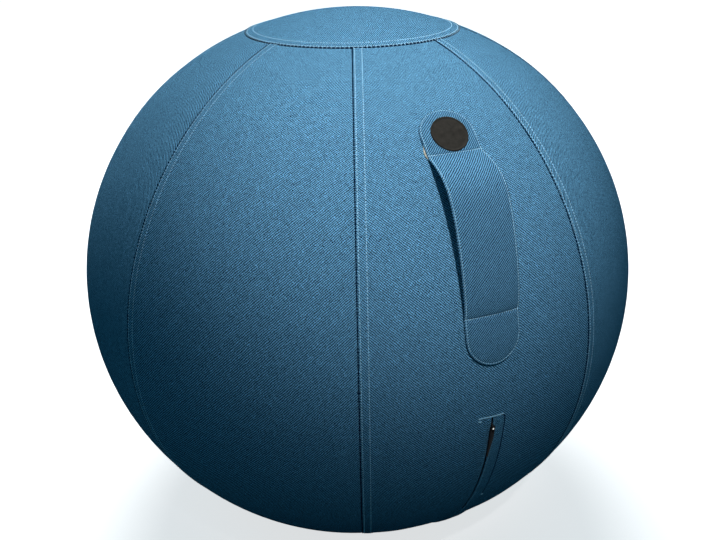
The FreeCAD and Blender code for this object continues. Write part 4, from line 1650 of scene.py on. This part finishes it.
    def refine(self, node: str, name: str, body: Body, slot: str, bevel: float, taper: float = 0.0) -> None:
        """Copy a rigid node, round its edges and dress it.

        Args:
            node: The node.
            name: Name of the piece that stands for it.
            body: Body that it rides on.
            slot: Its slot and finish.
            bevel: Width of the rounding in millimetres.
            taper: Share of its width that it loses towards its tip, as it leans to the cover.
        """
        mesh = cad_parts[node].data.copy()
        mesh.name = name
        mesh.materials.clear()
        mesh.materials.append(MATERIALS[slot])
        piece = add_object(name, mesh)
        mend(piece, within=0.004)
        if taper:
            low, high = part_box(node)
            kept, aside, inwards = 0.2, 1.1 * MM, 2.3 * MM
            for vertex in mesh.vertices:
                share = max(0.0, (high[2] - vertex.co.z) / (high[2] - low[2]) - kept) / (1.0 - kept)
                vertex.co.x = vertex.co.x * (1.0 - taper * share) - aside * share
                vertex.co.y += inwards * share * share
        rounding = piece.modifiers.new("rounding", "BEVEL")
        rounding.width = bevel * MM
        rounding.segments = 2
        rounding.limit_method = "ANGLE"
        rounding.angle_limit = math.radians(35.0)
        bake(piece)
        piece.data.shade_smooth()
        settle(piece, body, slot, node)

    def build(self) -> None:
        """Make the whole zip."""
        self.make_flaps()
        self.sew_flaps()
        self.sew_crease_shadow()
        self.make_tapes()
        self.make_coils()
        self.sew_tacks()
        self.refine("zip_slider", "slider_body", Body.SLIDER, "zip_metal", 0.18)
        self.refine("zip_pull", "slider_pull", Body.PULL, "pull_metal", 0.22, taper=0.5)


def dress_nodes() -> None:
    """Give the carried CAD nodes their finishes."""
    for slot, nodes in (
        ("ball_vinyl", ("inner_ball", "valve_seat")),
        ("valve_plastic", ("valve_plug",)),
        ("zip_metal", ("zip_top_stops", "zip_bottom_stop")),
    ):
        for node in nodes:
            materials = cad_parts[node].data.materials
            materials.clear()
            materials.append(MATERIALS[slot])
            LOG.info("%s: carried, %s", node, slot)


# Studio


def toward(azimuth: float, elevation: float) -> Vector:
    """Direction of a place seen from the ball, its angles in degrees from the front and above level."""
    turn, lift = math.radians(azimuth), math.radians(elevation)
    return Vector((math.sin(turn) * math.cos(lift), -math.cos(turn) * math.cos(lift), math.sin(lift)))


@dataclass(frozen=True)
class Lamp:
    """Soft lamp aimed at the ball, its level 1 where a colour renders as it is written."""

    name: str
    azimuth: float
    elevation: float
    size: float
    level: float
    cone: float = 0.0
    aim: tuple[float, float] = (0.0, 0.0)
    distance: float = 2.9

    def build(self) -> None:
        """Hang the lamp: a round panel, or a spot with a soft edge where it has a cone."""
        data = bpy.data.lights.new(self.name, "SPOT" if self.cone else "AREA")
        data.energy = self.level * (math.pi * self.distance) ** 2
        if self.cone:
            data.spot_size = math.radians(self.cone)
            data.spot_blend = 1.0
            data.shadow_soft_size = self.size / 2
            spot_to_panel = 4.0
            data.energy *= spot_to_panel
        else:
            data.shape = "DISK"
            data.size = self.size
        lamp = add_object(self.name, data)
        way, turn = toward(self.azimuth, self.elevation), math.radians(self.azimuth)
        aside = Vector((math.cos(turn), math.sin(turn), 0.0)) * self.aim[0] * MM
        place = Vector((0.0, 0.0, (PROFILE.middle + self.aim[1]) * MM)) + aside + way * self.distance
        lamp.matrix_world = Matrix.Translation(place) @ way.to_track_quat("Z", "Y").to_matrix().to_4x4()


@dataclass(frozen=True)
class Studio:
    """Floor, light and camera."""

    azimuth: float = -22.28
    elevation: float = 25.46
    distance: float = 1.0127
    focal_px: float = 798.6
    width_px: float = 716.0
    aim_px: tuple[float, float] = (-0.4, 3.1)
    roll: float = -1.25
    lamps: tuple[Lamp, ...] = (
        Lamp("key", azimuth=-12.0, elevation=50.0, size=0.12, level=0.61, cone=12.8, aim=(30.0, -34.0)),
        Lamp("top", azimuth=165.0, elevation=65.0, size=1.8, level=0.8),
    )
    sky: Colour = (0.18, 0.75, 1.0)
    sky_strength: float = 0.15
    floor_reach: float = 15.0
    floor_tint: Colour = (0.04, 0.08, 0.09)

    def make_camera(self) -> None:
        """Place the camera at the photograph's angle."""
        data = bpy.data.cameras.new("camera")
        data.sensor_width = 36.0
        data.lens = self.focal_px / self.width_px * data.sensor_width
        camera = add_object("camera", data)
        way = toward(self.azimuth, self.elevation)
        place = Vector((0.0, 0.0, PROFILE.middle * MM)) + way * self.distance
        look = (-way).to_track_quat("-Z", "Y").to_matrix()
        aim_x, aim_y = (shift / self.focal_px for shift in self.aim_px)
        nudge = Matrix.Rotation(aim_x, 3, "Y") @ Matrix.Rotation(-aim_y, 3, "X")
        facing = look @ nudge @ Matrix.Rotation(math.radians(self.roll), 3, "Z")
        camera.matrix_world = Matrix.Translation(place) @ facing.to_4x4()
        bpy.context.scene.camera = camera

    def make_floor(self) -> None:
        """Lay a plain pale floor that keeps the ball's shadow."""
        mesh = bpy.data.meshes.new("floor")
        far = self.floor_reach
        mesh.from_pydata([(-far, -far, 0), (far, -far, 0), (far, far, 0), (-far, far, 0)], [], [(0, 1, 2, 3)])
        add_object("floor", mesh)
        material = bpy.data.materials.new("floor")
        wiring = emptied(material)
        seen = wiring.seen_by("Is Camera Ray", "Is Glossy Ray")
        tone = wiring.blend(seen, opaque(self.floor_tint), WHITE)
        paper = wiring.node("ShaderNodeBsdfDiffuse", {"Color": tone})
        place = wiring.node("ShaderNodeTexCoord").outputs["Object"]
        # Painted shade: the paper's glow is dimmer right under the ball, and full from 1.5 m out.
        away = wiring.node("ShaderNodeVectorMath", {0: place}, operation="LENGTH")
        glow_with_painted_shade = wiring.ramp(Value(wiring, away.outputs["Value"]), 0.4, 1.5, 0.7, 1.0)
        glow = wiring.node("ShaderNodeEmission", {"Color": WHITE, "Strength": seen * glow_with_painted_shade})
        both = wiring.node("ShaderNodeAddShader", {0: paper.outputs[0], 1: glow.outputs[0]})
        wiring.node("ShaderNodeOutputMaterial", {"Surface": both.outputs[0]})
        mesh.materials.append(material)

    def make_world(self) -> None:
        """Light everything a little from all round, and show white behind it."""
        world = bpy.data.worlds.new("studio")
        bpy.context.scene.world = world
        wiring = emptied(world)
        seen = wiring.seen_by("Is Camera Ray", "Is Glossy Ray", "Is Transmission Ray")
        dim, white = (
            wiring.node("ShaderNodeBackground", {"Color": colour, "Strength": strength}).outputs[0]
            for colour, strength in ((opaque(self.sky), self.sky_strength), (WHITE, 1.0))
        )
        either = wiring.node("ShaderNodeMixShader", {0: seen, 1: dim, 2: white})
        wiring.node("ShaderNodeOutputWorld", {"Surface": either.outputs[0]})

    def build(self) -> None:
        """Set the studio up."""
        bpy.context.scene.view_settings.view_transform = "Standard"
        self.make_camera()
        for lamp in self.lamps:
            lamp.build()
        self.make_floor()
        self.make_world()


def main() -> None:
    """Build the sitting ball and its studio."""
    logging.basicConfig(level=logging.INFO, format="%(name)s: %(message)s")
    sewing = Sewing()
    Studio().build()
    SewnCover(sewing).build()
    CarryHandle(sewing).build()
    Zip(sewing).build()
    dress_nodes()


if __name__ == "__main__":
    main()
